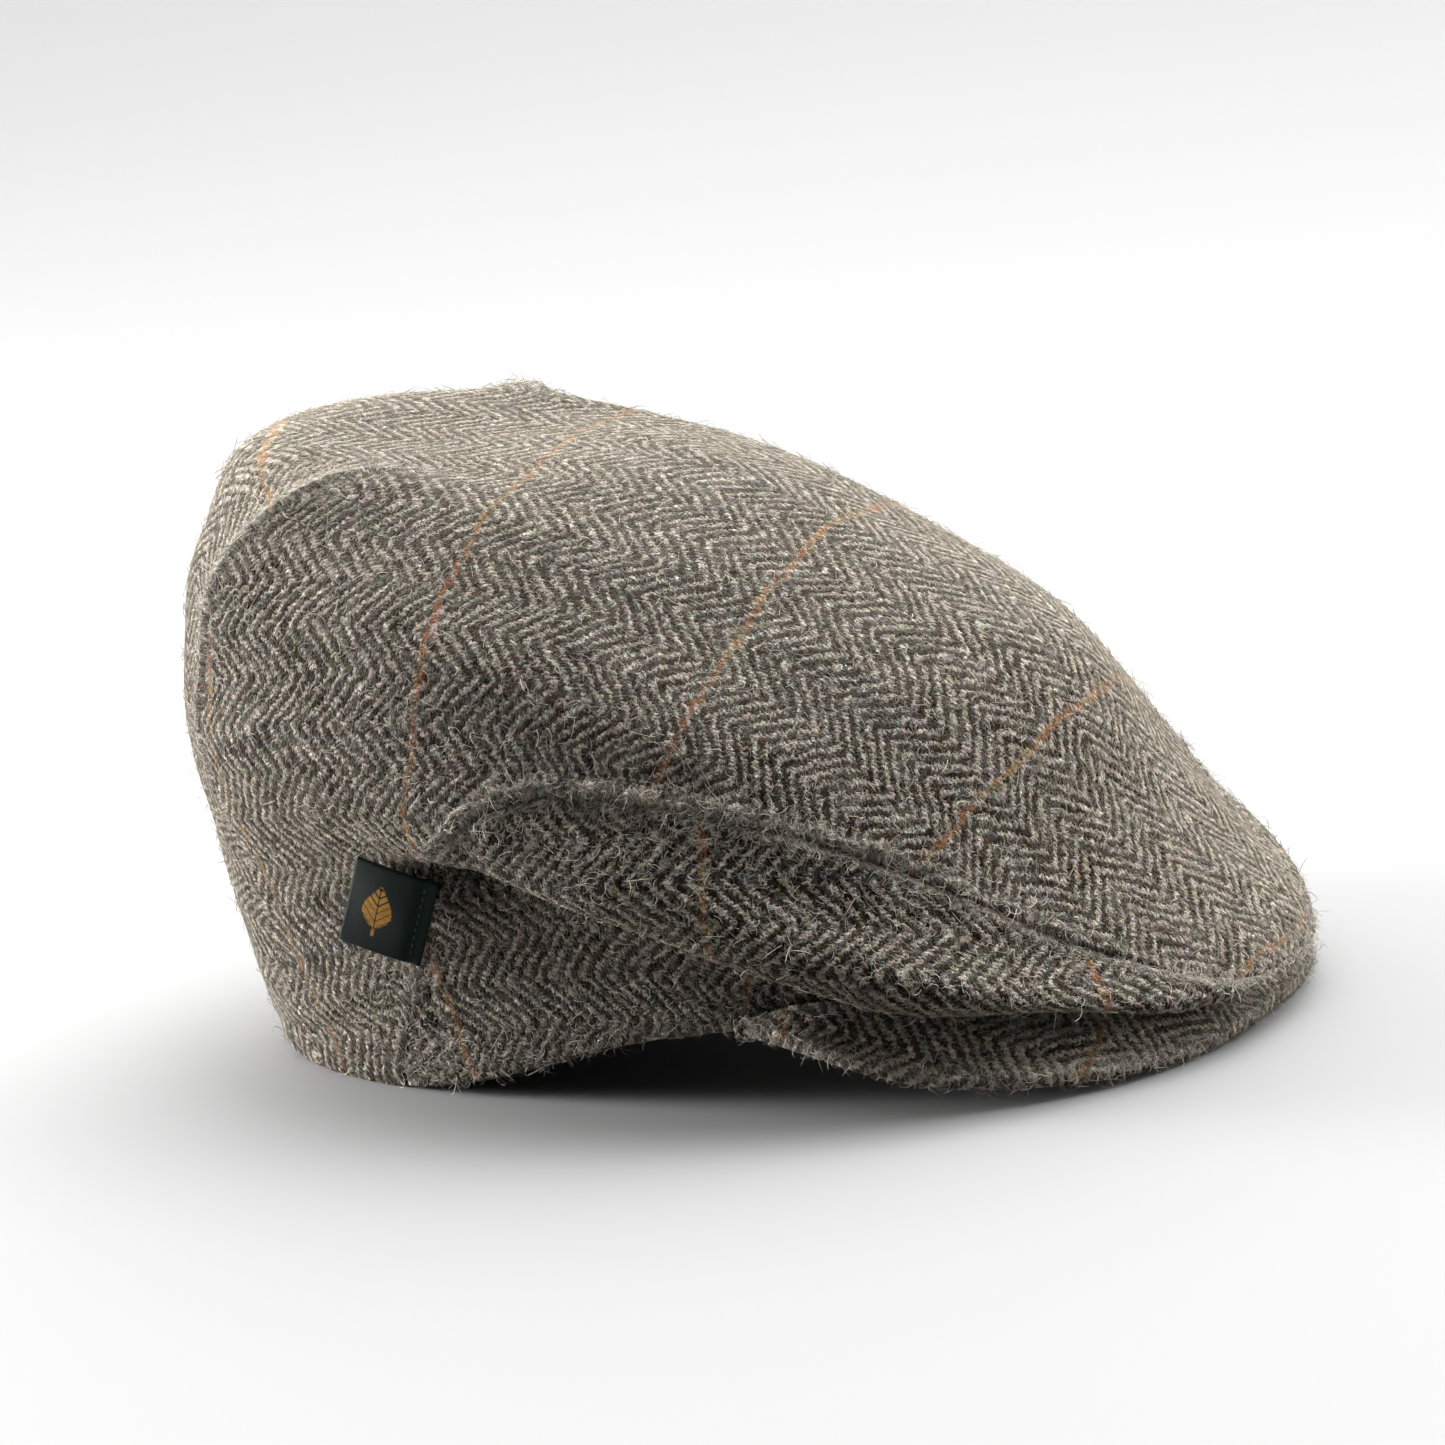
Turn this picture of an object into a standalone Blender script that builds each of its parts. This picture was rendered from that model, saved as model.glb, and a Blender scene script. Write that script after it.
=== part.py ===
"""Herringbone tweed flat cap, at rest on its rear hem and the rim of its peak.

Front is +X, up is +Z and the wearer's left is +Y. Every size is in metres.
The cloth surface is a set of rings, one above the other, joined by a smooth curve
from the hem over the crown. Each panel is a patch of it with a real wall.
"""

from collections import namedtuple

import bpy
import numpy as np

CAP_LENGTH = 0.262
CAP_WIDTH = 0.187
CAP_HEIGHT = 0.1415
CLOTH_THICKNESS = 0.002
PANEL_GAP = 0.0006
EDGE_ROUNDING = 0.8

PEAK_THICKNESS = 0.0036
PEAK_HALF_SWEEP = 74.0
PEAK_ROOT_CLEARANCE = 0.0003
PEAK_BULGE = 0.0022

LABEL_WIDTH = 0.0195
LABEL_HEIGHT = 0.0215
LABEL_THICKNESS = 0.0012
LABEL_STANDOFF = 0.0056
LABEL_ANGLE = -127.0
LABEL_LEVEL = 0.94
LABEL_TURN = -28.0
LABEL_LIFT = 12.0
LABEL_LEAN = 12.0
LABEL_BOW = 0.0006

DART_ANGLE = 151.0
DART_RISE = 0.0032
DART_HALF_WIDTH = 0.011
DART_FOOT_LEVEL = 3.6
DART_FOOT_FADE = 1.4
DART_TOP_LEVEL = 6.8
DART_TIP_FADE = 0.6

FRONT_COLUMNS = 22
CROWN_ROWS = 15
SIDE_ROWS = 11
SIDE_TIP_LEVEL = 0.4
PEAK_COLUMNS = 34
PEAK_ROWS = 7
LABEL_CELLS = 5

# Reaches are shares of CAP_LENGTH to the front and back and of CAP_WIDTH to the side.
# Rises are shares of CAP_HEIGHT at five stations from the front round to the back.
Ring = namedtuple(
    "Ring",
    "name front back side square_front square_back"
    " rise_front rise_front_side rise_side rise_back_side rise_back",
)
RINGS = (
    Ring("hem", 0.309, 0.502, 0.417, 2.10, 2.40, 0.177, 0.133, 0.118, 0.006, -0.004),
    Ring("crease", 0.324, 0.531, 0.449, 2.10, 2.55, 0.198, 0.182, 0.342, 0.348, 0.311),
    Ring("under", 0.420, 0.532, 0.484, 2.10, 2.55, 0.084, 0.154, 0.331, 0.456, 0.452),
    Ring("bulge", 0.460, 0.532, 0.500, 2.05, 2.60, 0.076, 0.190, 0.408, 0.560, 0.601),
    Ring("seam", 0.416, 0.527, 0.462, 2.00, 2.65, 0.191, 0.272, 0.512, 0.664, 0.730),
    Ring("upper", 0.349, 0.503, 0.415, 2.00, 2.70, 0.357, 0.430, 0.660, 0.799, 0.887),
    Ring("shoulder", 0.272, 0.476, 0.301, 2.00, 2.60, 0.583, 0.633, 0.771, 0.906, 0.986),
    Ring("middle", 0.136, 0.290, 0.163, 2.00, 2.20, 0.767, 0.789, 0.853, 0.913, 0.968),
)
APEX_RISE = 0.885
APEX_LEVEL = float(len(RINGS))
STATIONS = np.radians([0, 45, 90, 135, 180])

# The seam of the top panel: its level among the rings, by degrees from the front.
SeamPoint = namedtuple("SeamPoint", "degrees level")
SEAM = (
    SeamPoint(0, 3.20),
    SeamPoint(10, 3.28),
    SeamPoint(16, 3.46),
    SeamPoint(24, 3.86),
    SeamPoint(32, 4.20),
    SeamPoint(42, 4.51),
    SeamPoint(55, 4.64),
    SeamPoint(68, 4.54),
    SeamPoint(80, 4.33),
    SeamPoint(92, 4.06),
    SeamPoint(101, 3.78),
    SeamPoint(109, 3.16),
    SeamPoint(118, 1.94),
    SeamPoint(127, 0.78),
    SeamPoint(136, 0.00),
    SeamPoint(141, -0.37),
)
SEAM_CREST = 90.0

# The peak by degrees from the front: its rim's rise as a share of CAP_HEIGHT, how far its
# root stands from the hem (0) up to the crease (1), and how far its rim reaches from the
# root (0) out to RIM (1).
PeakPoint = namedtuple("PeakPoint", "degrees rim_rise root_share reach_share")
PEAK = (
    PeakPoint(0, 0.000, 0.35, 1.00),
    PeakPoint(25, 0.003, 0.45, 1.00),
    PeakPoint(40, 0.021, 0.60, 1.00),
    PeakPoint(52, 0.048, 0.62, 1.00),
    PeakPoint(63, 0.094, 0.45, 0.88),
    PeakPoint(74, 0.128, 0.10, 0.20),
)
RIM = Ring("rim", 0.443, 0.443, 0.468, 2.45, 2.45, 0, 0, 0, 0, 0)

Finish = namedtuple("Finish", "color roughness metallic")
TWEED = Finish((0.150, 0.128, 0.104, 1.0), 0.95, 0.0)
LABEL_WEAVE = Finish((0.006, 0.022, 0.015, 1.0), 0.6, 0.0)


def clear_scene():
    for item in list(bpy.data.objects):
        bpy.data.objects.remove(item, do_unlink=True)


def by_station(theta, rises):
    """Heights that pass through the five stations and mirror left to right."""
    order = np.arange(len(STATIONS))
    shares = np.linalg.solve(np.cos(np.outer(STATIONS, order)), np.asarray(rises))
    return np.cos(np.multiply.outer(theta, order)) @ shares


def reach_of(theta, ring):
    """Distance of a ring from the upright axis: an oval with squarer corners behind."""
    forward, across = np.cos(theta), np.sin(theta)
    mix = (1 + forward) / 2
    power = ring.square_back + (ring.square_front - ring.square_back) * mix
    length = np.where(forward > 0, ring.front, ring.back) * CAP_LENGTH
    width = ring.side * CAP_WIDTH
    total = np.abs(forward / length) ** power + np.abs(across / width) ** power
    return total ** (-1 / power)


def ring_points(theta, ring):
    reach = reach_of(theta, ring)
    rise = by_station(theta, ring[6:]) * CAP_HEIGHT
    return np.stack([reach * np.cos(theta), reach * np.sin(theta), rise], axis=-1)


def plain_surface(theta, level):
    """Points of the smooth cloth surface; theta and level are arrays of one shape."""
    theta, level = np.broadcast_arrays(np.asarray(theta, float), np.asarray(level, float))
    apex = np.zeros(theta.shape + (3,))
    apex[..., 2] = APEX_RISE * CAP_HEIGHT
    beyond = ring_points(theta + np.pi, RINGS[-1])
    stack = np.stack([ring_points(theta, ring) for ring in RINGS] + [apex, beyond])
    chord = np.diff(stack, axis=0)
    step = np.linalg.norm(chord, axis=-1, keepdims=True) ** 0.5
    slope = chord / step
    inner = (slope[:-1] * step[1:] + slope[1:] * step[:-1]) / (step[:-1] + step[1:])
    first = 1.5 * slope[:1] - 0.5 * inner[:1]
    tangent = np.concatenate([first, inner, slope[-1:]])
    low = np.clip(np.floor(level).astype(int), 0, len(RINGS) - 1)
    part = (level - low)[..., None]

    def pick(values, shift=0):
        index = (low + shift)[None, ..., None]
        return np.take_along_axis(values, np.broadcast_to(index, (1,) + values.shape[1:]), 0)[0]

    span = pick(step)
    square, cube = part**2, part**3
    return (
        (2 * cube - 3 * square + 1) * pick(stack)
        + (cube - 2 * square + part) * span * pick(tangent)
        + (3 * square - 2 * cube) * pick(stack, 1)
        + (cube - square) * span * pick(tangent, 1)
    )


def normals_of(surface, theta, level, step=0.004):
    """Outward unit normals of a surface, from small steps both ways."""
    along = surface(theta + step, level) - surface(theta - step, level)
    low = np.clip(level - step, 0, APEX_LEVEL - step)
    high = np.clip(level + step, step, APEX_LEVEL)
    rising = surface(theta, high) - surface(theta, low)
    normal = np.cross(along, rising)
    return normal / np.linalg.norm(normal, axis=-1, keepdims=True)


def smooth_step(value, start, end):
    part = np.clip((value - start) / (end - start), 0, 1)
    return part * part * (3 - 2 * part)


def cap_surface(theta, level):
    """The plain surface with the ridge that each rear dart raises."""
    theta, level = np.broadcast_arrays(np.asarray(theta, float), np.asarray(level, float))
    base = plain_surface(theta, level)
    turned = np.abs((np.degrees(theta) + 180) % 360 - 180)
    reach = np.linalg.norm(base[..., :2], axis=-1)
    off = np.abs(np.radians(turned - DART_ANGLE)) * reach / DART_HALF_WIDTH
    fade = smooth_step(level, DART_FOOT_LEVEL, DART_FOOT_LEVEL + DART_FOOT_FADE)
    fade = fade * (1 - smooth_step(level, DART_TOP_LEVEL - DART_TIP_FADE, DART_TOP_LEVEL))
    rise = DART_RISE * fade * np.exp(-off)
    return base + rise[..., None] * normals_of(plain_surface, theta, level)


def smooth_table(value, places, heights):
    """A smooth curve through a table of places and heights, flat at its first row."""
    places, heights = np.asarray(places, float), np.asarray(heights, float)
    slope = np.gradient(heights, places)
    slope[0] = 0.0
    low = np.clip(np.searchsorted(places, value, side="right") - 1, 0, len(places) - 2)
    span = places[low + 1] - places[low]
    part = np.clip((value - places[low]) / span, 0, 1)
    square, cube = part**2, part**3
    return (
        (2 * cube - 3 * square + 1) * heights[low]
        + (cube - 2 * square + part) * span * slope[low]
        + (3 * square - 2 * cube) * heights[low + 1]
        + (cube - square) * span * slope[low + 1]
    )


def seam_level(degrees):
    return smooth_table(degrees, [p.degrees for p in SEAM], [p.level for p in SEAM])


def seam_beside(side):
    """Degrees and levels of a panel's edge: beside the seam, above it (1) or below it (-1).

    Where the seam runs across the columns, the rounded edge takes up some of the way.
    """
    degrees = np.linspace(0, SEAM[-1].degrees, 400)
    theta, level = np.radians(degrees), seam_level(degrees)
    small = 0.003
    along = (cap_surface(theta + small, level) - cap_surface(theta - small, level)) / (2 * small)
    rising = (cap_surface(theta, level + small) - cap_surface(theta, level - small)) / (2 * small)
    run = along + np.gradient(level, theta)[:, None] * rising
    aside = np.cross(np.cross(along, rising), run)
    aside = side * aside / np.linalg.norm(aside, axis=1, keepdims=True)
    upright = rising / np.linalg.norm(rising, axis=1, keepdims=True)
    across = np.abs((aside * upright).sum(axis=1))
    aside *= (PANEL_GAP / 2 + across * EDGE_ROUNDING * CLOTH_THICKNESS / 2)[:, None]
    grid = np.stack([along, rising], axis=-1)
    moved = np.stack([np.linalg.lstsq(g, a, rcond=None)[0] for g, a in zip(grid, aside)])
    return np.degrees(theta + moved[:, 0]), level + moved[:, 1]


def place_of(level, places, levels):
    """Degrees at which an edge comes down past a level, behind the ear."""
    falling = places > SEAM_CREST
    return np.interp(-level, -levels[falling], places[falling])


def rounded_loop(outer, inner):
    """One closed loop per column: outer points up, a rounded edge, inner points down."""
    half = EDGE_ROUNDING * np.linalg.norm(outer - inner, axis=-1) / 2

    def nose(end, inside):
        way = (outer[end] + inner[end]) / 2 - (outer[inside] + inner[inside]) / 2
        way = way / np.linalg.norm(way, axis=-1, keepdims=True)
        return (outer[end] + inner[end]) / 2 + way * half[end][..., None]

    top, bottom = nose(-1, -2), nose(0, 1)
    return np.concatenate([outer, top[None], inner[::-1], bottom[None]])


def make_object(name, points, faces, finish):
    """An object with its own material; the faces are turned outward if need be."""
    triangles = np.array([(f[0], f[k], f[k + 1]) for f in faces for k in range(1, len(f) - 1)])
    corners = points[triangles]
    if np.linalg.det(corners).sum() < 0:
        faces = [tuple(reversed(face)) for face in faces]
    mesh = bpy.data.meshes.new(name)
    mesh.from_pydata([tuple(p) for p in points], [], faces)
    mesh.update()
    item = bpy.data.objects.new(name, mesh)
    bpy.context.scene.collection.objects.link(item)
    material = bpy.data.materials.new(name)
    material.use_nodes = True
    shader = material.node_tree.nodes["Principled BSDF"]
    shader.inputs["Base Color"].default_value = finish.color
    shader.inputs["Roughness"].default_value = finish.roughness
    shader.inputs["Metallic"].default_value = finish.metallic
    material.diffuse_color = finish.color
    mesh.materials.append(material)
    return item


def strip_solid(name, outer, inner, finish):
    """A sheet with four edges; outer and inner are (rows, columns, 3) grids."""
    loop = rounded_loop(outer, inner)
    size, columns = loop.shape[:2]
    rows = len(outer)
    points = loop.transpose(1, 0, 2).reshape(-1, 3)
    faces = []
    for column in range(columns - 1):
        for k in range(size):
            after = (k + 1) % size
            here, there = column * size, (column + 1) * size
            faces.append((here + k, here + after, there + after, there + k))
    for base in (0, (columns - 1) * size):
        caps = [(base + j, base + j + 1, base + size - 3 - j, base + size - 2 - j) for j in range(rows - 1)]
        caps.append((base + rows - 1, base + rows, base + rows + 1))
        caps.append((base + size - 2, base + size - 1, base))
        faces += caps if base else [tuple(reversed(cap)) for cap in caps]
    return make_object(name, flattened(points), faces, finish)


def flattened(points):
    """The underside lies flat where the cloth meets the ground."""
    points = points.copy()
    points[:, 2] = np.maximum(points[:, 2], 0.0)
    return points


def spaced_angles(corner):
    """Degrees round the cap, closer together where the seam falls and at the darts."""
    front = np.linspace(0, 100, FRONT_COLUMNS, endpoint=False)
    fall = np.concatenate([np.arange(100, 127, 2.5), np.linspace(127.5, corner, 7)])
    dart = [139, 142.5, 145, 147.5, 149.5, 151, 152.5, 154.5, 157, 160]
    back = [164, 168, 172, 176]
    half = np.concatenate([front, fall, dart, back])
    return np.concatenate([half, [180.0], -half[:0:-1]])


def build_crown():
    places, levels = seam_beside(1)
    degrees = spaced_angles(place_of(0.0, places, levels))
    theta = np.radians(degrees)
    edge = np.maximum(np.interp(np.abs(degrees), places, levels), 0.0)
    rows = np.arange(CROWN_ROWS) / CROWN_ROWS
    level = edge[None] + (APEX_LEVEL - edge[None]) * rows[:, None]
    grid = np.broadcast_to(theta, level.shape)
    outer = cap_surface(grid, level)
    normal = normals_of(cap_surface, grid, level)
    inner = outer - CLOTH_THICKNESS * normal
    apex = np.array([0.0, 0.0, APEX_RISE * CAP_HEIGHT])
    up = normal[-1].mean(axis=0)
    up = up / np.linalg.norm(up)
    loop = rounded_loop(outer[::-1], inner[::-1])[:-1]
    size, columns = loop.shape[:2]
    points = np.concatenate([loop.reshape(-1, 3), [apex, apex - CLOTH_THICKNESS * up]])
    faces = []
    for k in range(size - 1):
        for c in range(columns):
            after = (c + 1) % columns
            faces.append((k * columns + c, k * columns + after,
                          (k + 1) * columns + after, (k + 1) * columns + c))
    top, bottom, last = size * columns, size * columns + 1, (size - 1) * columns
    for c in range(columns):
        after = (c + 1) % columns
        faces.append((top, after, c))
        faces.append((bottom, last + c, last + after))
    return make_object("crown_top", flattened(points), faces, TWEED)


def build_side(name, hand):
    """A side panel; its last column leans with the seam, down to a point at the hem."""
    places, levels = seam_beside(-1)
    last = place_of(SIDE_TIP_LEVEL, places, levels)
    gap = np.degrees(PANEL_GAP / 2 / (RINGS[0].front * CAP_LENGTH))
    degrees = spaced_angles(place_of(0.0, places, levels))
    degrees = degrees[(degrees > 2 * gap) & (degrees < last - 1)]
    degrees = np.concatenate([[gap], degrees, [last]])
    edge = np.interp(degrees, places, levels)
    rows = np.linspace(0, 1, SIDE_ROWS)
    level = edge[None] * rows[:, None]
    grid = np.broadcast_to(degrees, level.shape).copy()
    grid[:, -1] = place_of(level[:, -1], places, levels)
    theta = np.radians(grid) * hand
    outer = cap_surface(theta, level)
    inner = outer - CLOTH_THICKNESS * normals_of(cap_surface, theta, level)
    return strip_solid(name, outer, inner, TWEED)


def peak_grid():
    """Upper face of the peak, from root to rim, as (rows, columns, 3)."""
    theta = np.radians(np.linspace(-PEAK_HALF_SWEEP, PEAK_HALF_SWEEP, PEAK_COLUMNS))
    turned = np.abs(np.degrees(theta))
    at = [p.degrees for p in PEAK]
    rim_rise = smooth_table(turned, at, [p.rim_rise for p in PEAK]) * CAP_HEIGHT
    root_share = smooth_table(turned, at, [p.root_share for p in PEAK])
    reach_share = smooth_table(turned, at, [p.reach_share for p in PEAK])
    hem, crease = ring_points(theta, RINGS[0]), ring_points(theta, RINGS[1])
    root = hem + (crease - hem) * root_share[:, None]
    flat = np.stack([np.cos(theta), np.sin(theta)], axis=-1)
    root[:, :2] += flat * (PEAK_ROOT_CLEARANCE + EDGE_ROUNDING * PEAK_THICKNESS / 2)
    near = np.linalg.norm(root[:, :2], axis=1)
    far = near + (reach_of(theta, RIM) - near) * reach_share
    rim = np.concatenate([flat * far[:, None], (rim_rise + PEAK_THICKNESS)[:, None]], axis=1)
    part = np.linspace(0, 1, PEAK_ROWS)[:, None, None]
    grid = root[None] * (1 - part) + rim[None] * part
    width = np.linalg.norm(rim - root, axis=1) / np.linalg.norm(rim - root, axis=1).max()
    grid[..., 2] += PEAK_BULGE * np.sin(np.pi * part[..., 0]) * width[None]
    return grid


def build_peak():
    upper = peak_grid()
    along = np.gradient(upper, axis=1)
    outward = np.gradient(upper, axis=0)
    normal = np.cross(outward, along)
    normal = normal / np.linalg.norm(normal, axis=-1, keepdims=True)
    lower = upper - PEAK_THICKNESS * normal
    return strip_solid("peak", upper, lower, TWEED)


def build_label():
    theta, level = np.radians(np.array([LABEL_ANGLE])), np.array([LABEL_LEVEL])
    centre = cap_surface(theta, level)[0]
    normal = normals_of(cap_surface, theta, level)[0]
    level_way = np.cross([0.0, 0.0, 1.0], normal)
    level_way = level_way / np.linalg.norm(level_way)
    upward = np.cross(normal, level_way)
    turn = np.radians(LABEL_TURN)
    across = level_way * np.cos(turn) + upward * np.sin(turn)
    along = np.cross(normal, across)
    lift, lean = np.radians(LABEL_LIFT), np.radians(LABEL_LEAN)
    middle = centre + normal * LABEL_STANDOFF
    normal = normal * np.cos(lift) + across * np.sin(lift)
    across = np.cross(along, normal)
    normal = normal * np.cos(lean) + along * np.sin(lean)
    along = np.cross(normal, across)
    share = np.linspace(-1, 1, LABEL_CELLS + 1)
    rows, columns = np.meshgrid(share, share, indexing="ij")
    bow = -LABEL_BOW * columns**2
    outer = (
        middle
        + across * (columns * LABEL_WIDTH / 2)[..., None]
        + along * (rows * LABEL_HEIGHT / 2)[..., None]
        + normal * (bow + LABEL_THICKNESS)[..., None]
    )
    inner = outer - normal * LABEL_THICKNESS
    return strip_solid("side_label", outer, inner, LABEL_WEAVE)


def centre_on_origin():
    """Moves every object so that the middle of the underside is at the origin."""
    corners = np.array([v.co[:] for item in bpy.data.objects for v in item.data.vertices])
    low, high = corners.min(axis=0), corners.max(axis=0)
    shift = np.array([(low[0] + high[0]) / 2, (low[1] + high[1]) / 2, low[2]])
    for item in bpy.data.objects:
        for vertex in item.data.vertices:
            vertex.co = [a - b for a, b in zip(vertex.co, shift)]
        item.data.update()


def main():
    clear_scene()
    build_crown()
    build_side("side_panel_left", 1)
    build_side("side_panel_right", -1)
    build_peak()
    build_label()
    centre_on_origin()


main()
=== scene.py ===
"""Studio scene of a herringbone tweed flat cap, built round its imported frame.

Front is +X, up is +Z and the wearer's left is +Y. Sizes are in metres, apart from the
cloth map, which counts millimetres of flat cloth: across the columns, then along them.
"""

import logging
import math
from dataclasses import dataclass, field
from enum import Enum

import bpy
import numpy as np
from mathutils import Matrix, Vector

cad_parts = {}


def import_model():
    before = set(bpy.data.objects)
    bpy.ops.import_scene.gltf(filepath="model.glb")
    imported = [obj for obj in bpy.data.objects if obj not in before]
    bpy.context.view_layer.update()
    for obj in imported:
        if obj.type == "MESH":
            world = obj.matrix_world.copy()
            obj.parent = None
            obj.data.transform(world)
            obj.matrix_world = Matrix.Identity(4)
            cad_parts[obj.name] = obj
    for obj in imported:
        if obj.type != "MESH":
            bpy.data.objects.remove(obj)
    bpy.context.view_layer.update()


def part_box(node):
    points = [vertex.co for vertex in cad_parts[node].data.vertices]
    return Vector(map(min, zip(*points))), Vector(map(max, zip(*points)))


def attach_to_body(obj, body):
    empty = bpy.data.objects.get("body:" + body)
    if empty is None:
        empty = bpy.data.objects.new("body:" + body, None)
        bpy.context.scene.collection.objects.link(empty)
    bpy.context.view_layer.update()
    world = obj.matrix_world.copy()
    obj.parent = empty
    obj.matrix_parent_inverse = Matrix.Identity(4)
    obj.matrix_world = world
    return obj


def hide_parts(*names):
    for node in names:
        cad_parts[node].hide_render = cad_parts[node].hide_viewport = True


Array = np.ndarray
Socket = bpy.types.NodeSocket
Value = Socket | float
Colour = tuple[float, float, float]
Place = tuple[float, float, float]
Grade = tuple[float, float]  # A slope and a base: the value times the slope, plus the base.

log = logging.getLogger("flat_cap")


class Side(Enum):
    """The wearer's side that a panel is on; its value is the sign of Y."""

    LEFT = 1
    RIGHT = -1


@dataclass(frozen=True)
class Ring:
    """A level line round the cap; reaches are shares of its length and width.

    The rises are shares of the height at 0, 45, 90, 135 and 180 degrees from the front.
    """

    front: float
    back: float
    side: float
    square_front: float
    square_back: float
    rises: tuple[float, float, float, float, float]


HEM = Ring(0.309, 0.502, 0.417, 2.10, 2.40, (0.177, 0.133, 0.118, 0.006, -0.004))
CREASE = Ring(0.324, 0.531, 0.449, 2.10, 2.55, (0.198, 0.182, 0.342, 0.348, 0.311))
UNDER = Ring(0.420, 0.532, 0.484, 2.10, 2.55, (0.084, 0.154, 0.331, 0.456, 0.452))
BULGE = Ring(0.460, 0.532, 0.500, 2.05, 2.60, (0.076, 0.190, 0.408, 0.560, 0.601))
SEAM = Ring(0.416, 0.527, 0.462, 2.00, 2.65, (0.191, 0.272, 0.512, 0.664, 0.730))
UPPER = Ring(0.349, 0.503, 0.415, 2.00, 2.70, (0.357, 0.430, 0.660, 0.799, 0.887))
SHOULDER = Ring(0.272, 0.476, 0.301, 2.00, 2.60, (0.583, 0.633, 0.771, 0.906, 0.986))
MIDDLE = Ring(0.136, 0.290, 0.163, 2.00, 2.20, (0.767, 0.789, 0.853, 0.913, 0.968))
RIM = Ring(0.443, 0.443, 0.468, 2.45, 2.45, (0.0, 0.0, 0.0, 0.0, 0.0))
RINGS = (HEM, CREASE, UNDER, BULGE, SEAM, UPPER, SHOULDER, MIDDLE)
APEX_LEVEL = float(len(RINGS))
STATIONS = np.radians([0.0, 45.0, 90.0, 135.0, 180.0])

# The seam of the top panel: degrees from the front, and its level among the rings.
SEAM_LINE = (
    (0, 3.20), (10, 3.28), (16, 3.46), (24, 3.86), (32, 4.20), (42, 4.51),
    (55, 4.64), (68, 4.54), (80, 4.33), (92, 4.06), (101, 3.78), (109, 3.16),
    (118, 1.94), (127, 0.78), (136, 0.00), (141, -0.37),
)
SEAM_CREST = 90.0

# How many close places a row of columns is spaced by, and how round an edge of cloth is.
FINE_STEPS = 2000
NOSE_SHARE = 0.8

# The peak: degrees, rise of its rim, height of its root from hem to crease, reach of its rim.
PEAK_LINE = (
    (0, 0.000, 0.35, 1.00), (25, 0.003, 0.45, 1.00), (40, 0.021, 0.60, 1.00),
    (52, 0.048, 0.62, 1.00), (63, 0.094, 0.45, 0.88), (74, 0.128, 0.10, 0.20),
)


def ramp(value: Array, start: float, end: float) -> Array:
    """Rise smoothly from 0 at start to 1 at end.

    Args:
        value: The numbers to read the ramp at.
        start: Where the ramp leaves 0.
        end: Where it reaches 1.

    Returns:
        One share for each number.
    """
    part = np.clip((value - start) / (end - start), 0.0, 1.0)
    return part * part * (3.0 - 2.0 * part)


def bell(value: Array, centre: float, width: float) -> Array:
    """Return a smooth bump of height 1 round a centre."""
    return np.exp(-(((value - centre) / width) ** 2))


def hermite(part: Array, span: Array, ends: tuple, slopes: tuple) -> Array:
    """Read a smooth cubic between two ends.

    Args:
        part: The share of the way, from 0 to 1.
        span: The length of the way.
        ends: The values at its start and at its end.
        slopes: The slopes there.

    Returns:
        The value at each place.
    """
    square, cube = part**2, part**3
    return (
        (2 * cube - 3 * square + 1) * ends[0]
        + (cube - 2 * square + part) * span * slopes[0]
        + (3 * square - 2 * cube) * ends[1]
        + (cube - square) * span * slopes[1]
    )


def table_curve(value: Array, places: Array, heights: Array) -> Array:
    """Read a smooth curve through a table, flat at its first row.

    Args:
        value: Where to read it.
        places: The rising first column of the table.
        heights: The column to read.

    Returns:
        The height of the curve at each value.
    """
    slope = np.gradient(heights, places)
    slope[0] = 0.0
    low = np.clip(np.searchsorted(places, value, side="right") - 1, 0, len(places) - 2)
    span = places[low + 1] - places[low]
    part = np.clip((value - places[low]) / span, 0.0, 1.0)
    return hermite(part, span, (heights[low], heights[low + 1]), (slope[low], slope[low + 1]))


def unit(vectors: Array) -> Array:
    """Scale each vector of the last axis to length 1."""
    return vectors / np.maximum(np.linalg.norm(vectors, axis=-1, keepdims=True), 1e-12)


def around(degrees: Array) -> Array:
    """Bring angles into the range from -180 to 180 degrees."""
    return (degrees + 180) % 360 - 180


def spaced(fine: Array, pace: Array, count: int) -> Array:
    """Space places evenly by their pace.

    Args:
        fine: Close places, evenly apart.
        pace: How much room a step has at each of them.
        count: How many places to give.

    Returns:
        Places from the first to the last, with the same room between them.
    """
    gone = np.concatenate([[0], np.cumsum((pace[1:] + pace[:-1]) / 2)])
    return np.interp(np.linspace(0, gone[-1], count), gone, fine)


def lengths_down(points: Array) -> Array:
    """Measure the way from the first row to each row, down the columns."""
    steps = np.linalg.norm(np.diff(points, axis=0), axis=-1)
    return np.concatenate([np.zeros((1,) + steps.shape[1:]), np.cumsum(steps, axis=0)])


def above_floor(points: Array, least: float = 0.0) -> Array:
    """Lift points that lie below a height to it."""
    points[..., 2] = np.maximum(points[..., 2], least)
    return points


def two_faces(
    base: Array, normal: Array, relief: Array, cloth: float, every: int
) -> tuple[Array, Array, list[int]]:
    """Give cloth its relief outside and a plain, coarser inner face.

    Args:
        base: Rows by columns of points of the smooth form.
        normal: Outward normals there.
        relief: Metres that the cloth stands proud.
        cloth: Its thickness.
        every: Of how many rows the inner face keeps one.

    Returns:
        The outer points, the inner points and the rows that these keep.
    """
    rows = sorted(set(range(0, len(base), every)) | {0, len(base) - 1})
    outer = above_floor(base + relief[..., None] * normal)
    return outer, above_floor((base - cloth * normal)[rows]), rows


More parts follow.
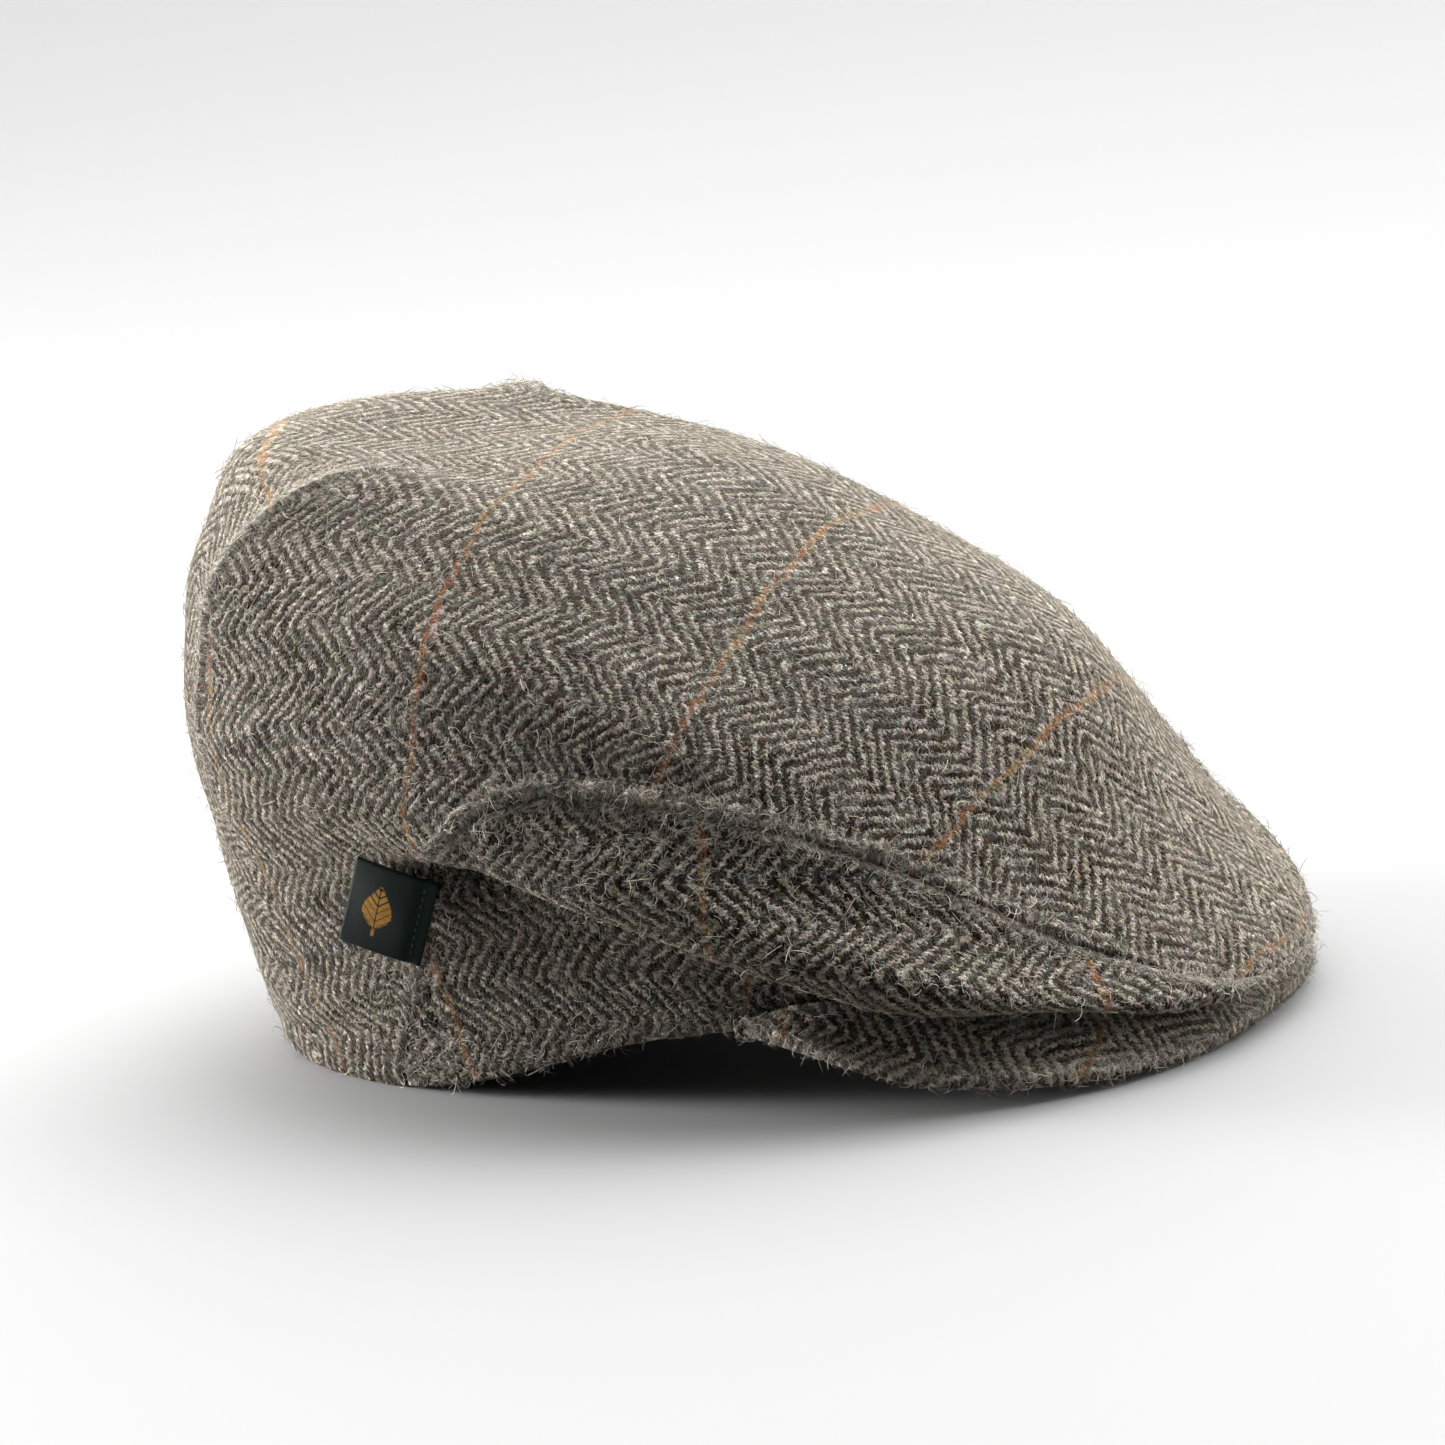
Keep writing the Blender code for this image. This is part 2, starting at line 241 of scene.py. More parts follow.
@dataclass(frozen=True)
class Ripple:
    """Soft, seeded unevenness in space, made of crossing waves."""

    seed: int
    wavelength: float
    height: float = 1.0
    waves: int = 14
    spread: tuple[float, float] = (0.7, 1.6)

    def at(self, points: Array) -> Array:
        """Read the unevenness.

        Args:
            points: Places in metres, in the last axis.

        Returns:
            From about minus the height to the height, at each place.
        """
        chance = np.random.default_rng(self.seed)
        ways = unit(chance.normal(size=(self.waves, points.shape[-1])))
        pace = 2 * math.pi / (self.wavelength * chance.uniform(*self.spread, self.waves))
        start = chance.uniform(0, 2 * math.pi, self.waves)
        total = np.zeros(points.shape[:-1])
        for way, quick, phase in zip(ways, pace, start):
            total += np.sin(points @ way * quick + phase)
        return total / math.sqrt(self.waves) * self.height


@dataclass(frozen=True)
class SeamFrame:
    """The top panel's seam, sampled: where an edge beside it runs."""

    places: Array
    levels: Array
    across: Array

    def place_of(self, level: Array) -> Array:
        """Give the degrees at which the edge falls past a level, behind the ear."""
        falling = self.places > SEAM_CREST
        return np.interp(-level, -self.levels[falling], self.places[falling])

    def level_at(self, degrees: Array) -> Array:
        """Give the edge's level, which ends at the hem."""
        return np.maximum(np.interp(np.abs(degrees), self.places, self.levels), 0.0)

    def across_at(self, degrees: Array) -> Array:
        """Give how squarely the columns meet the edge, from 0 to 1."""
        return np.interp(np.abs(degrees), self.places, self.across)


@dataclass
class CapForm:
    """The smooth cloth surface of the whole cap, from the hem (0) to the apex (8)."""

    length: float = 0.262
    width: float = 0.187
    height: float = 0.1415
    apex_rise: float = 0.885
    cloth: float = 0.002
    panel_gap: float = 0.0006
    dart_angle: float = 151.0
    dart_rise: float = 0.0032
    dart_half_width: float = 0.011
    dart_foot: float = 3.6
    dart_foot_fade: float = 1.4
    dart_top: float = 6.8
    dart_tip_fade: float = 0.6
    fold_depth: float = 0.0090
    fold_puff: float = 0.0012
    fold_start: tuple[float, float] = (72.0, 104.0)
    fold_end: tuple[float, float] = (112.0, 127.0)
    fold_level: float = 1.35
    fold_spread: float = 0.42
    puff_level: float = 2.35
    puff_spread: float = 0.60
    seam_end: tuple[float, float] = (112.0, 120.0)
    seam_end_hush: float = 0.9
    seam_start: tuple[float, float] = (14.0, 60.0)
    seam_start_share: float = 0.2
    shift: float = 0.0

    def reach(self, theta: Array, ring: Ring) -> Array:
        """Measure a ring's distance from the upright axis.

        Args:
            theta: Radians from the front.
            ring: The ring.

        Returns:
            Distances in metres.
        """
        forward, across = np.cos(theta), np.sin(theta)
        mix = (1 + forward) / 2
        power = ring.square_back + (ring.square_front - ring.square_back) * mix
        length = np.where(forward > 0, ring.front, ring.back) * self.length
        total = np.abs(forward / length) ** power
        total = total + np.abs(across / (ring.side * self.width)) ** power
        return total ** (-1 / power)

    def ring_points(self, theta: Array, ring: Ring) -> Array:
        """Place a ring in space.

        Args:
            theta: Radians from the front.
            ring: The ring.

        Returns:
            Points of the ring, in the last axis.
        """
        order = np.arange(len(STATIONS))
        shares = np.linalg.solve(np.cos(np.outer(STATIONS, order)), np.array(ring.rises))
        rise = np.cos(np.multiply.outer(theta, order)) @ shares * self.height
        reach = self.reach(theta, ring)
        return np.stack([reach * np.cos(theta), reach * np.sin(theta), rise], axis=-1)

    def plain(self, theta: Array, level: Array) -> Array:
        """Place points of the surface without its darts.

        Args:
            theta: Radians from the front.
            level: Levels among the rings, of the same shape.

        Returns:
            Points, in the last axis.
        """
        theta, level = np.broadcast_arrays(np.asarray(theta, float), np.asarray(level, float))
        apex = np.zeros(theta.shape + (3,))
        apex[..., 2] = self.apex_rise * self.height
        beyond = self.ring_points(theta + np.pi, RINGS[-1])
        stack = np.stack([self.ring_points(theta, ring) for ring in RINGS] + [apex, beyond])
        chord = np.diff(stack, axis=0)
        step = np.linalg.norm(chord, axis=-1, keepdims=True) ** 0.5
        slope = chord / step
        inner = (slope[:-1] * step[1:] + slope[1:] * step[:-1]) / (step[:-1] + step[1:])
        tangent = np.concatenate([1.5 * slope[:1] - 0.5 * inner[:1], inner, slope[-1:]])
        low = np.clip(np.floor(level).astype(int), 0, len(RINGS) - 1)
        part = (level - low)[..., None]

        def pick(values: Array, over: int = 0) -> Array:
            """Take each point's own row of a stack of rings."""
            index = np.broadcast_to((low + over)[None, ..., None], (1,) + values.shape[1:])
            return np.take_along_axis(values, index, 0)[0]

        ends, slopes = (pick(stack), pick(stack, 1)), (pick(tangent), pick(tangent, 1))
        return hermite(part, pick(step), ends, slopes)

    def normal(self, theta: Array, level: Array, darts: bool = True) -> Array:
        """Find the outward unit normals.

        Args:
            theta: Radians from the front.
            level: Levels among the rings.
            darts: Whether the darts' ridges count.

        Returns:
            Unit vectors, in the last axis.
        """
        place = self.surface if darts else self.plain
        step = 0.004
        along = place(theta + step, level) - place(theta - step, level)
        high = np.clip(level + step, step, APEX_LEVEL)
        low = np.clip(level - step, 0.0, APEX_LEVEL - step)
        return unit(np.cross(along, place(theta, high) - place(theta, low)))

    def dart_fade(self, level: Array) -> Array:
        """Give how much of a dart's ridge stands at each level."""
        fade = ramp(level, self.dart_foot, self.dart_foot + self.dart_foot_fade)
        return fade * (1 - ramp(level, self.dart_top - self.dart_tip_fade, self.dart_top))

    def dart_offset(self, theta: Array, level: Array) -> Array:
        """Measure how far a point lies from its dart's line.

        Args:
            theta: Radians from the front.
            level: Levels among the rings.

        Returns:
            Metres, positive behind the line and negative before it.
        """
        turned = np.abs(around(np.degrees(theta)))
        reach = np.linalg.norm(self.plain(theta, level)[..., :2], axis=-1)
        return np.radians(turned - self.dart_angle) * reach

    def surface(self, theta: Array, level: Array) -> Array:
        """Place points of the surface with its darts.

        Args:
            theta: Radians from the front.
            level: Levels among the rings.

        Returns:
            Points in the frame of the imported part, in the last axis.
        """
        theta, level = np.broadcast_arrays(np.asarray(theta, float), np.asarray(level, float))
        off = np.abs(self.dart_offset(theta, level)) / self.dart_half_width
        rise = self.dart_rise * self.dart_fade(level) * np.exp(-off)
        rise = rise + self.fold(theta, level)
        moved = self.plain(theta, level)
        moved = moved + rise[..., None] * self.normal(theta, level, darts=False)
        return moved + np.array([self.shift, 0.0, 0.0])

    def fold(self, theta: Array, level: Array) -> Array:
        """Press the cloth in along the crease behind the ear, and puff it out above.

        Args:
            theta: Radians from the front.
            level: Levels among the rings.

        Returns:
            Metres outward.
        """
        turned = np.abs(around(np.degrees(theta)))
        along = ramp(turned, *self.fold_start) * (1 - ramp(turned, *self.fold_end))
        pressed = self.fold_depth * bell(level, self.fold_level, self.fold_spread)
        puffed = self.fold_puff * bell(level, self.puff_level, self.puff_spread)
        return along * (puffed - pressed)

    def seam_loudness(self, turned: Array) -> Array:
        """Give how strongly the seam's relief shows at degrees from the front."""
        behind = 1 - self.seam_end_hush * ramp(turned, *self.seam_end)
        least = self.seam_start_share
        return behind * (least + (1 - least) * ramp(turned, *self.seam_start))

    def seam_frame(self, side: int) -> SeamFrame:
        """Follow the edge of a panel beside the seam.

        Args:
            side: 1 above the seam and -1 below it.

        Returns:
            The sampled edge.
        """
        table = np.array(SEAM_LINE, float)
        degrees = np.linspace(0, table[-1, 0], 500)
        theta, level = np.radians(degrees), table_curve(degrees, table[:, 0], table[:, 1])
        small = 0.003
        along = self.surface(theta + small, level) - self.surface(theta - small, level)
        rising = self.surface(theta, level + small) - self.surface(theta, level - small)
        along, rising = along / (2 * small), rising / (2 * small)
        run = along + np.gradient(level, theta)[:, None] * rising
        aside = side * unit(np.cross(np.cross(along, rising), run))
        across = np.abs((aside * unit(rising)).sum(axis=1))
        grid = np.stack([along, rising], axis=-1)
        reach = self.panel_gap / 2
        moved = [np.linalg.lstsq(g, reach * a, rcond=None)[0] for g, a in zip(grid, aside)]
        moved = np.stack(moved)
        return SeamFrame(np.degrees(theta + moved[:, 0]), level + moved[:, 1], across)

    def levels_at(self, theta: Array, start: Array, end: Array, near: Array, rows: int) -> Array:
        """Space rows by real distance along each column.

        Args:
            theta: The columns' angles.
            start: Each column's first level.
            end: Each column's last level.
            near: Distances from the start at which the close rows stand.
            rows: How many rows share the rest evenly, the last one at the end.

        Returns:
            Levels, as rows by columns.
        """
        share = np.linspace(0, 1, 160)[:, None]
        level = start[None] + (end - start)[None] * share
        points = self.plain(np.broadcast_to(theta, level.shape), level)
        gone = lengths_down(points)
        made = []
        for column in range(len(theta)):
            whole = gone[-1, column]
            close = near * min(1.0, 0.5 * whole / max(near[-1], 1e-9))
            rest = np.linspace(close[-1], whole, rows + 1)[1:]
            want = np.concatenate([close, rest])
            made.append(np.interp(want, gone[:, column], level[:, column]))
        return np.stack(made, axis=1)


class FlatCloth:
    """A piece of cloth laid flat with as little stretch as it can."""

    SOFTEST, STIFFEST = 0.02, 20.0

    def __init__(self, points: Array, same: Array, start: Array, rounds: int = 40) -> None:
        """Lay the cloth out.

        Args:
            points: Rows by columns of points in space.
            same: Rows by columns of vertex numbers; equal numbers are one vertex.
            start: Rows by columns of first places on the table.
            rounds: How often it is relaxed.
        """
        rows, columns = same.shape
        number, first = np.unique(same, return_index=True)
        index = np.searchsorted(number, same)
        flat = points.reshape(-1, 3)[first]
        laid = start.reshape(-1, 2)[first]
        a, b = index[:-1, :-1], index[:-1, 1:]
        c, d = index[1:, 1:], index[1:, :-1]
        halves = [np.stack(corner, -1).reshape(-1, 3) for corner in ((a, b, c), (a, c, d))]
        corners = np.concatenate(halves)
        corners = corners[(corners != np.roll(corners, 1, axis=1)).all(axis=1)]
        laid = self.relax(flat, corners, laid, rounds)
        self.uv = laid[index.reshape(-1)].reshape(rows, columns, 2)

    @staticmethod
    def relax(points: Array, corners: Array, laid: Array, rounds: int) -> Array:
        """Turn and fit each triangle in turn until the sheet keeps its lengths.

        Args:
            points: Vertices in space.
            corners: Three vertex numbers for each triangle.
            laid: First places on the table.
            rounds: How many times.

        Returns:
            Places on the table, one for each vertex.
        """
        one = points[corners[:, 1]] - points[corners[:, 0]]
        two = points[corners[:, 2]] - points[corners[:, 0]]
        base = unit(one)
        aside = unit(two - (two * base).sum(-1, keepdims=True) * base)
        local = np.zeros((len(corners), 3, 2))
        local[:, 1, 0] = (one * base).sum(-1)
        local[:, 2, 0] = (two * base).sum(-1)
        local[:, 2, 1] = (two * aside).sum(-1)
        count = len(points)
        pull = np.zeros((count, count))
        edges = []
        for k in range(3):
            i, j, far = k, (k + 1) % 3, (k + 2) % 3
            p, q = local[:, i] - local[:, far], local[:, j] - local[:, far]
            area = np.abs(p[:, 0] * q[:, 1] - p[:, 1] * q[:, 0])
            weight = (p * q).sum(-1) / np.maximum(area, 1e-12)
            weight = np.clip(weight, FlatCloth.SOFTEST, FlatCloth.STIFFEST)
            start, end = corners[:, i], corners[:, j]
            np.add.at(pull, (start, start), weight)
            np.add.at(pull, (end, end), weight)
            np.add.at(pull, (start, end), -weight)
            np.add.at(pull, (end, start), -weight)
            edges.append((start, end, weight, local[:, i] - local[:, j]))
        pull[0, 0] += 1.0
        solve = np.linalg.inv(pull)
        for _ in range(rounds):
            spin = np.zeros((len(corners), 2, 2))
            for start, end, weight, rest in edges:
                moved = (laid[start] - laid[end]) * weight[:, None]
                spin += moved[:, :, None] * rest[:, None, :]
            angle = np.arctan2(spin[:, 1, 0] - spin[:, 0, 1], spin[:, 0, 0] + spin[:, 1, 1])
            cos, sin = np.cos(angle), np.sin(angle)
            turn = np.stack([cos, -sin, sin, cos], -1).reshape(-1, 2, 2)
            want = np.zeros_like(laid)
            want[0] = laid[0]
            for start, end, weight, rest in edges:
                force = weight[:, None] * np.einsum("nij,nj->ni", turn, rest)
                np.add.at(want, start, force)
                np.add.at(want, end, -force)
            laid = solve @ want
        return laid

    def turn_to(self, low: tuple[int, int], high: tuple[int, int], angle: float = 90.0) -> None:
        """Turn the cloth so that the line between two grid places points one way.

        Args:
            low: Row and column of the line's start, which becomes the origin.
            high: Row and column of its end.
            angle: Degrees from the across axis that the line then has.
        """
        self.uv = self.uv - self.uv[low]
        way = self.uv[high]
        turn = math.radians(angle) - math.atan2(way[1], way[0])
        cos, sin = math.cos(turn), math.sin(turn)
        self.uv = self.uv @ np.array([[cos, sin], [-sin, cos]])

    def at(self, row: Array, column: Array) -> Array:
        """Read the cloth map between the grid's places, smoothly.

        Args:
            row: Fractional rows.
            column: Fractional columns.

        Returns:
            Places on the flat cloth, in millimetres.
        """
        total = np.zeros(row.shape + (2,))
        for i, down in enumerate(self.weights(row)):
            at_row = np.clip(np.floor(row).astype(int) + i - 1, 0, self.uv.shape[0] - 1)
            for j, over in enumerate(self.weights(column)):
                at_column = np.clip(np.floor(column).astype(int) + j - 1, 0, self.uv.shape[1] - 1)
                total += (down * over)[..., None] * self.uv[at_row, at_column]
        return total * 1000.0

    @staticmethod
    def weights(place: Array) -> list[Array]:
        """Give the four weights of a smooth curve through neighbours.

        Args:
            place: Fractional rows or columns.

        Returns:
            A weight for each of the four nearest.
        """
        t = place - np.floor(place)
        return [
            (-t + 2 * t**2 - t**3) / 2,
            (2 - 5 * t**2 + 3 * t**3) / 2,
            (t + 4 * t**2 - 3 * t**3) / 2,
            (-(t**2) + t**3) / 2,
        ]


class Bench:
    """Lays out the nodes of one material."""

    def __init__(self, name: str, colour: Colour, roughness: float) -> None:
        """Start a material with its shader.

        Args:
            name: The material's name.
            colour: A plain colour, where nothing is linked.
            roughness: The shader's roughness.
        """
        self.material = bpy.data.materials.new(name)
        self.material.use_nodes = True
        self.tree = self.material.node_tree
        self.shader = self.tree.nodes["Principled BSDF"]
        self.set(Base_Color=colour + (1.0,), Roughness=roughness)
        self.material.diffuse_color = colour + (1.0,)

    def set(self, **values: float | tuple[float, ...]) -> None:
        """Set the shader's own sockets, with spaces in their names written as underscores."""
        for name, value in values.items():
            self.shader.inputs[name.replace("_", " ")].default_value = value

    def paint(self, colour: Socket) -> None:
        """Link the shader's colour."""
        self.feed(self.shader.inputs["Base Color"], colour)

    def node(self, kind: str, *values: Value, **settings: object) -> bpy.types.Node:
        """Add a node.

        Args:
            kind: Blender's name of it.
            values: What its first sockets are fed.
            settings: Its options.

        Returns:
            The node.
        """
        made = self.tree.nodes.new(kind)
        for name, value in settings.items():
            setattr(made, name, value)
        for socket, value in zip(made.inputs, values):
            self.feed(socket, value)
        return made

    def feed(self, socket: Socket, value: Value | tuple[float, ...]) -> None:
        """Link a socket into another, or set it.

        Args:
            socket: The one that is fed.
            value: The other socket, a number or a tuple.
        """
        if isinstance(value, bpy.types.NodeSocket):
            self.tree.links.new(value, socket)
        else:
            socket.default_value = value

    def math(self, operation: str, *values: Value) -> Socket:
        """Work out a sum by Blender's name of its operation."""
        return self.node("ShaderNodeMath", *values, operation=operation).outputs[0]

    def graded(self, value: Value, grade: Grade) -> Socket:
        """Multiply a number by a slope and add a base."""
        return self.math("MULTIPLY_ADD", value, *grade)

    def step(self, value: Value, start: float, end: float) -> Socket:
        """Rise smoothly from 0 to 1.

        Args:
            value: What is measured.
            start: Where the rise begins.
            end: Where it ends, above the start or below it.

        Returns:
            The share that it has risen.
        """
        ends = (end, start, 1.0, 0.0) if start > end else (start, end, 0.0, 1.0)
        made = self.node("ShaderNodeMapRange", value, *ends, interpolation_type="SMOOTHSTEP")
        return made.outputs["Result"]

    def blend(
        self, factor: Value, low: Socket | Colour, high: Socket | Colour, mode: str = "MIX"
    ) -> Socket:
        """Mix two colours.

        Args:
            factor: How much of the second.
            low: The first colour.
            high: The second colour.
            mode: Blender's name of the way.

        Returns:
            The mixed colour.
        """
        made = self.node("ShaderNodeMix", factor, data_type="RGBA", blend_type=mode)
        made.clamp_factor = True
        for socket, value in ((made.inputs[6], low), (made.inputs[7], high)):
            self.feed(socket, value + (1.0,) if isinstance(value, tuple) else value)
        return made.outputs[2]

    def scaled(self, colour: Socket | Colour, share: Socket) -> Socket:
        """Multiply a colour by one brightness."""
        return self.blend(1.0, colour, self.vector(share, share, share), "MULTIPLY")

    def vector(self, x: Value, y: Value, z: Value = 0.0) -> Socket:
        """Join three numbers."""
        return self.node("ShaderNodeCombineXYZ", x, y, z).outputs[0]

    def split(self, vector: Socket) -> list[Socket]:
        """Part a vector or colour into its three numbers."""
        return list(self.node("ShaderNodeSeparateXYZ", vector).outputs)

    def noise(
        self, vector: Socket, scale: float, detail: float = 0.0, twist: float = 0.0
    ) -> bpy.types.Node:
        """Add soft noise.

        Args:
            vector: Where it is read.
            scale: Waves for each millimetre of cloth.
            detail: How many finer layers it has.
            twist: How much it curls.

        Returns:
            The node, with outputs Fac and Color.
        """
        made = self.node("ShaderNodeTexNoise", vector)
        for name, value in (("Scale", scale), ("Detail", detail), ("Distortion", twist)):
            self.feed(made.inputs[name], value)
        return made

    def chance(self, *place: Value) -> bpy.types.Node:
        """Add a random value for each whole place, with outputs Value and Color."""
        return self.node("ShaderNodeTexWhiteNoise", self.vector(*place), noise_dimensions="3D")

    def cloth_map(self) -> Socket:
        """Read the cloth map."""
        return self.node("ShaderNodeUVMap", uv_map="cloth").outputs["UV"]

    def relief(self, height: Socket, depth: float) -> None:
        """Give the shader a relief.

        Args:
            height: Its shape, from 0 to about 1.
            depth: How deep it is, in metres.
        """
        made = self.node("ShaderNodeBump")
        for name, value in (("Strength", 1.0), ("Distance", depth), ("Height", height)):
            self.feed(made.inputs[name], value)
        self.feed(self.shader.inputs["Normal"], made.outputs["Normal"])


@dataclass(frozen=True)
class Patches:
    """Soft patches on cloth: waves for each millimetre, finer layers, and their two edges."""

    scale: float
    detail: float
    low: float
    high: float

    def on(self, bench: Bench, cloth: Socket) -> Socket:
        """Give 0 between the patches and 1 in them."""
        waves = bench.noise(cloth, self.scale, self.detail).outputs["Fac"]
        return bench.step(waves, self.low, self.high)


@dataclass(frozen=True)
class Mottle:
    """Uneven brightness on cloth: waves for each millimetre, finer layers, and its grade."""

    scale: float
    detail: float
    grade: Grade

    def on(self, bench: Bench, cloth: Socket) -> Socket:
        """Give the brightness of each place."""
        return bench.graded(bench.noise(cloth, self.scale, self.detail).outputs["Fac"], self.grade)


@dataclass(frozen=True)
class Strands:
    """Curly fibres that lie on cloth.

    The numbers are waves for each millimetre, the layer's own place in the noise, how wide
    the fibres are, how much they curl and how much of the cloth stays without them.
    """

    scale: float
    away: float
    width: float
    curl: float
    bare: float
    soft_edge: float = 0.45
    patch_away: float = 9.0
    patch_scale: float = 0.4
    patch_edge: float = 0.12

    def on(self, bench: Bench, cloth: Socket) -> Socket:
        """Draw the fibres along the level lines of soft noise, here and there.

        Args:
            bench: Where the nodes go.
            cloth: The cloth map.

        Returns:
            1 on a fibre and 0 beside it.
        """
        u, v, _ = bench.split(cloth)
        place = bench.vector(u, v, self.away)
        waves = bench.noise(place, self.scale, 0.0, self.curl).outputs["Fac"]
        near = bench.math("ABSOLUTE", bench.math("SUBTRACT", waves, 0.5))
        line = bench.step(near, self.width, self.width * self.soft_edge)
        place = bench.vector(u, v, self.away + self.patch_away)
        some = bench.noise(place, self.scale * self.patch_scale).outputs["Fac"]
        some = bench.step(some, self.bare, self.bare + self.patch_edge)
        return bench.math("MULTIPLY", line, some)


@dataclass(frozen=True)
class Woven:
    """The bare weave: its colour and height, and where light and rust yarns lie on top."""

    colour: Socket
    height: Socket
    light: Socket
    rust: Socket


@dataclass(frozen=True)
class TweedFinish:
    """Woolly 2/2 herringbone with rust and navy check lines; sizes in millimetres."""

    light: Colour = (0.125, 0.112, 0.095)
    dark: Colour = (0.0175, 0.0088, 0.0034)
    rust: Colour = (0.33, 0.125, 0.050)
    ochre: Colour = (0.36, 0.22, 0.085)
    navy: Colour = (0.018, 0.028, 0.045)
    fluff: Colour = (0.355, 0.329, 0.282)
    haze: Colour = (0.76, 0.65, 0.47)
    roughness: float = 0.95
    column: float = 10.8
    ends: int = 11
    pick: float = 1.0
    float_edge: tuple[float, float] = (2.08, 1.92)
    float_end: float = 1.8
    weft_height: float = 0.6
    weft_run: float = 2.3
    weft_lot: float = 7.0
    yarn_heather: float = 0.20
    warp_spread: float = 0.62
    weft_spread: float = 0.6
    # Painted shade between the yarns: the colour is scaled by this grade of how high the weave
    # stands, up to the height given next.
    groove_shade: Grade = (0.85, 0.15)
    groove_shade_top: float = 0.8
    # How the threads wander: waves for each millimetre, finer layers, reach.
    wander: tuple[tuple[float, float, float], ...] = (
        (0.05, 1.0, 4.5), (0.45, 0.0, 1.8), (1.7, 1.0, 1.6),
    )
    line_threads: int = 2
    rust_every: int = 68
    rust_first: int = 21
    rust_on_weft: float = 0.8
    rust_on_warp: float = 0.4
    rust_on_hair: float = 0.40
    rust_fade: Patches = Patches(0.35, 1.0, 0.36, 0.60)
    rust_kept: Grade = (0.75, 0.2)
    ochre_parts: Patches = Patches(0.12, 1.0, 0.40, 0.60)
    navy_every: int = 51
    navy_first: int = 0
    navy_on_warp: float = 0.75
    cloth_mottle: Mottle = Mottle(0.45, 1.0, (1.9, 0.05))
    hair_mottle: Mottle = Mottle(0.9, 1.0, (2.2, -0.10))
    heather: float = 0.8
    heather_share: float = 0.35
    fine: tuple[Strands, Strands] = (
        Strands(0.95, 3.0, 0.125, 0.7, 0.36), Strands(0.70, 41.0, 0.095, 1.0, 0.42),
    )
    loops: Strands = Strands(0.48, 77.0, 0.060, 1.5, 0.44)
    clumps: Patches = Patches(0.33, 1.5, 0.30, 0.70)
    clump_grip: Grade = (0.9, 0.5)
    light_grip: Grade = (0.80, 0.10)
    worn_grip: float = 0.3
    loop_grip: Grade = (0.7, 0.16)
    felting: Patches = Patches(0.10, 3.0, 0.40, 0.75)
    felt: float = 0.07
    worn_felt: float = 0.25
    # Painted highlight: more pale cover on upward-facing cloth, rising between the two values of
    # the normal's upward part.
    top_painted_light: float = 0.06
    top_light_slope: tuple[float, float] = (0.45, 1.0)
    # Painted shade: how much the side panels' fold darkens the colour.
    fold_shade: float = 0.78
    relief: float = 0.00045
    fine_height: float = 0.35
    loop_height: float = 0.45
    sheen: float = 0.6
    sheen_roughness: float = 0.18
    shine: float = 0.05

    def dress(self, name: str) -> bpy.types.Material:
        """Make the material.

        Args:
            name: Its name.

        Returns:
            The material, which reads the cloth map and the attribute of rubbing and painted shade.
        """
        bench = Bench(name, self.dark, self.roughness)
        cloth = bench.cloth_map()
        # The attribute holds rubbing above 0, which adds pale fluff, and painted shade below 0,
        # which darkens the colour round the side panels' fold.
        wear_and_shade_values = bench.node("ShaderNodeAttribute", attribute_name="worn").outputs["Fac"]
        worn = bench.math("MAXIMUM", wear_and_shade_values, 0.0)
        kept = bench.graded(bench.math("MINIMUM", wear_and_shade_values, 0.0), (self.fold_shade, 1.0))
        woven = self.weave(bench, cloth)
        fine = bench.math("MAXIMUM", *(layer.on(bench, cloth) for layer in self.fine))
        loops = self.loops.on(bench, cloth)
        hair = self.hair(bench, cloth, woven.rust)
        grip = bench.graded(woven.light, self.light_grip)
        grip = bench.math("ADD", grip, bench.math("MULTIPLY", worn, self.worn_grip))
        grip = bench.math("MINIMUM", grip, 1.0)
        clump = bench.graded(self.clumps.on(bench, cloth), self.clump_grip)
        grip = bench.math("MULTIPLY", grip, clump)
        colour = bench.scaled(woven.colour, self.cloth_mottle.on(bench, cloth))
        colour = bench.blend(bench.math("MULTIPLY", fine, grip), colour, hair)
        cover = bench.math("MULTIPLY", loops, bench.graded(grip, self.loop_grip))
        colour = bench.blend(cover, colour, hair)
        colour = bench.blend(self.felted(bench, cloth, worn), colour, hair)
        # Painted shade: the colour darkens where the attribute is below 0.
        bench.paint(bench.scaled(colour, kept))
        height = bench.math("MULTIPLY_ADD", fine, self.fine_height, woven.height)
        height = bench.math("MULTIPLY_ADD", loops, self.loop_height, height)
        bench.relief(height, self.relief)
        bench.set(Sheen_Weight=self.sheen, Sheen_Roughness=self.sheen_roughness)
        bench.set(Sheen_Tint=self.haze + (1.0,), Specular_IOR_Level=self.shine)
        return bench.material

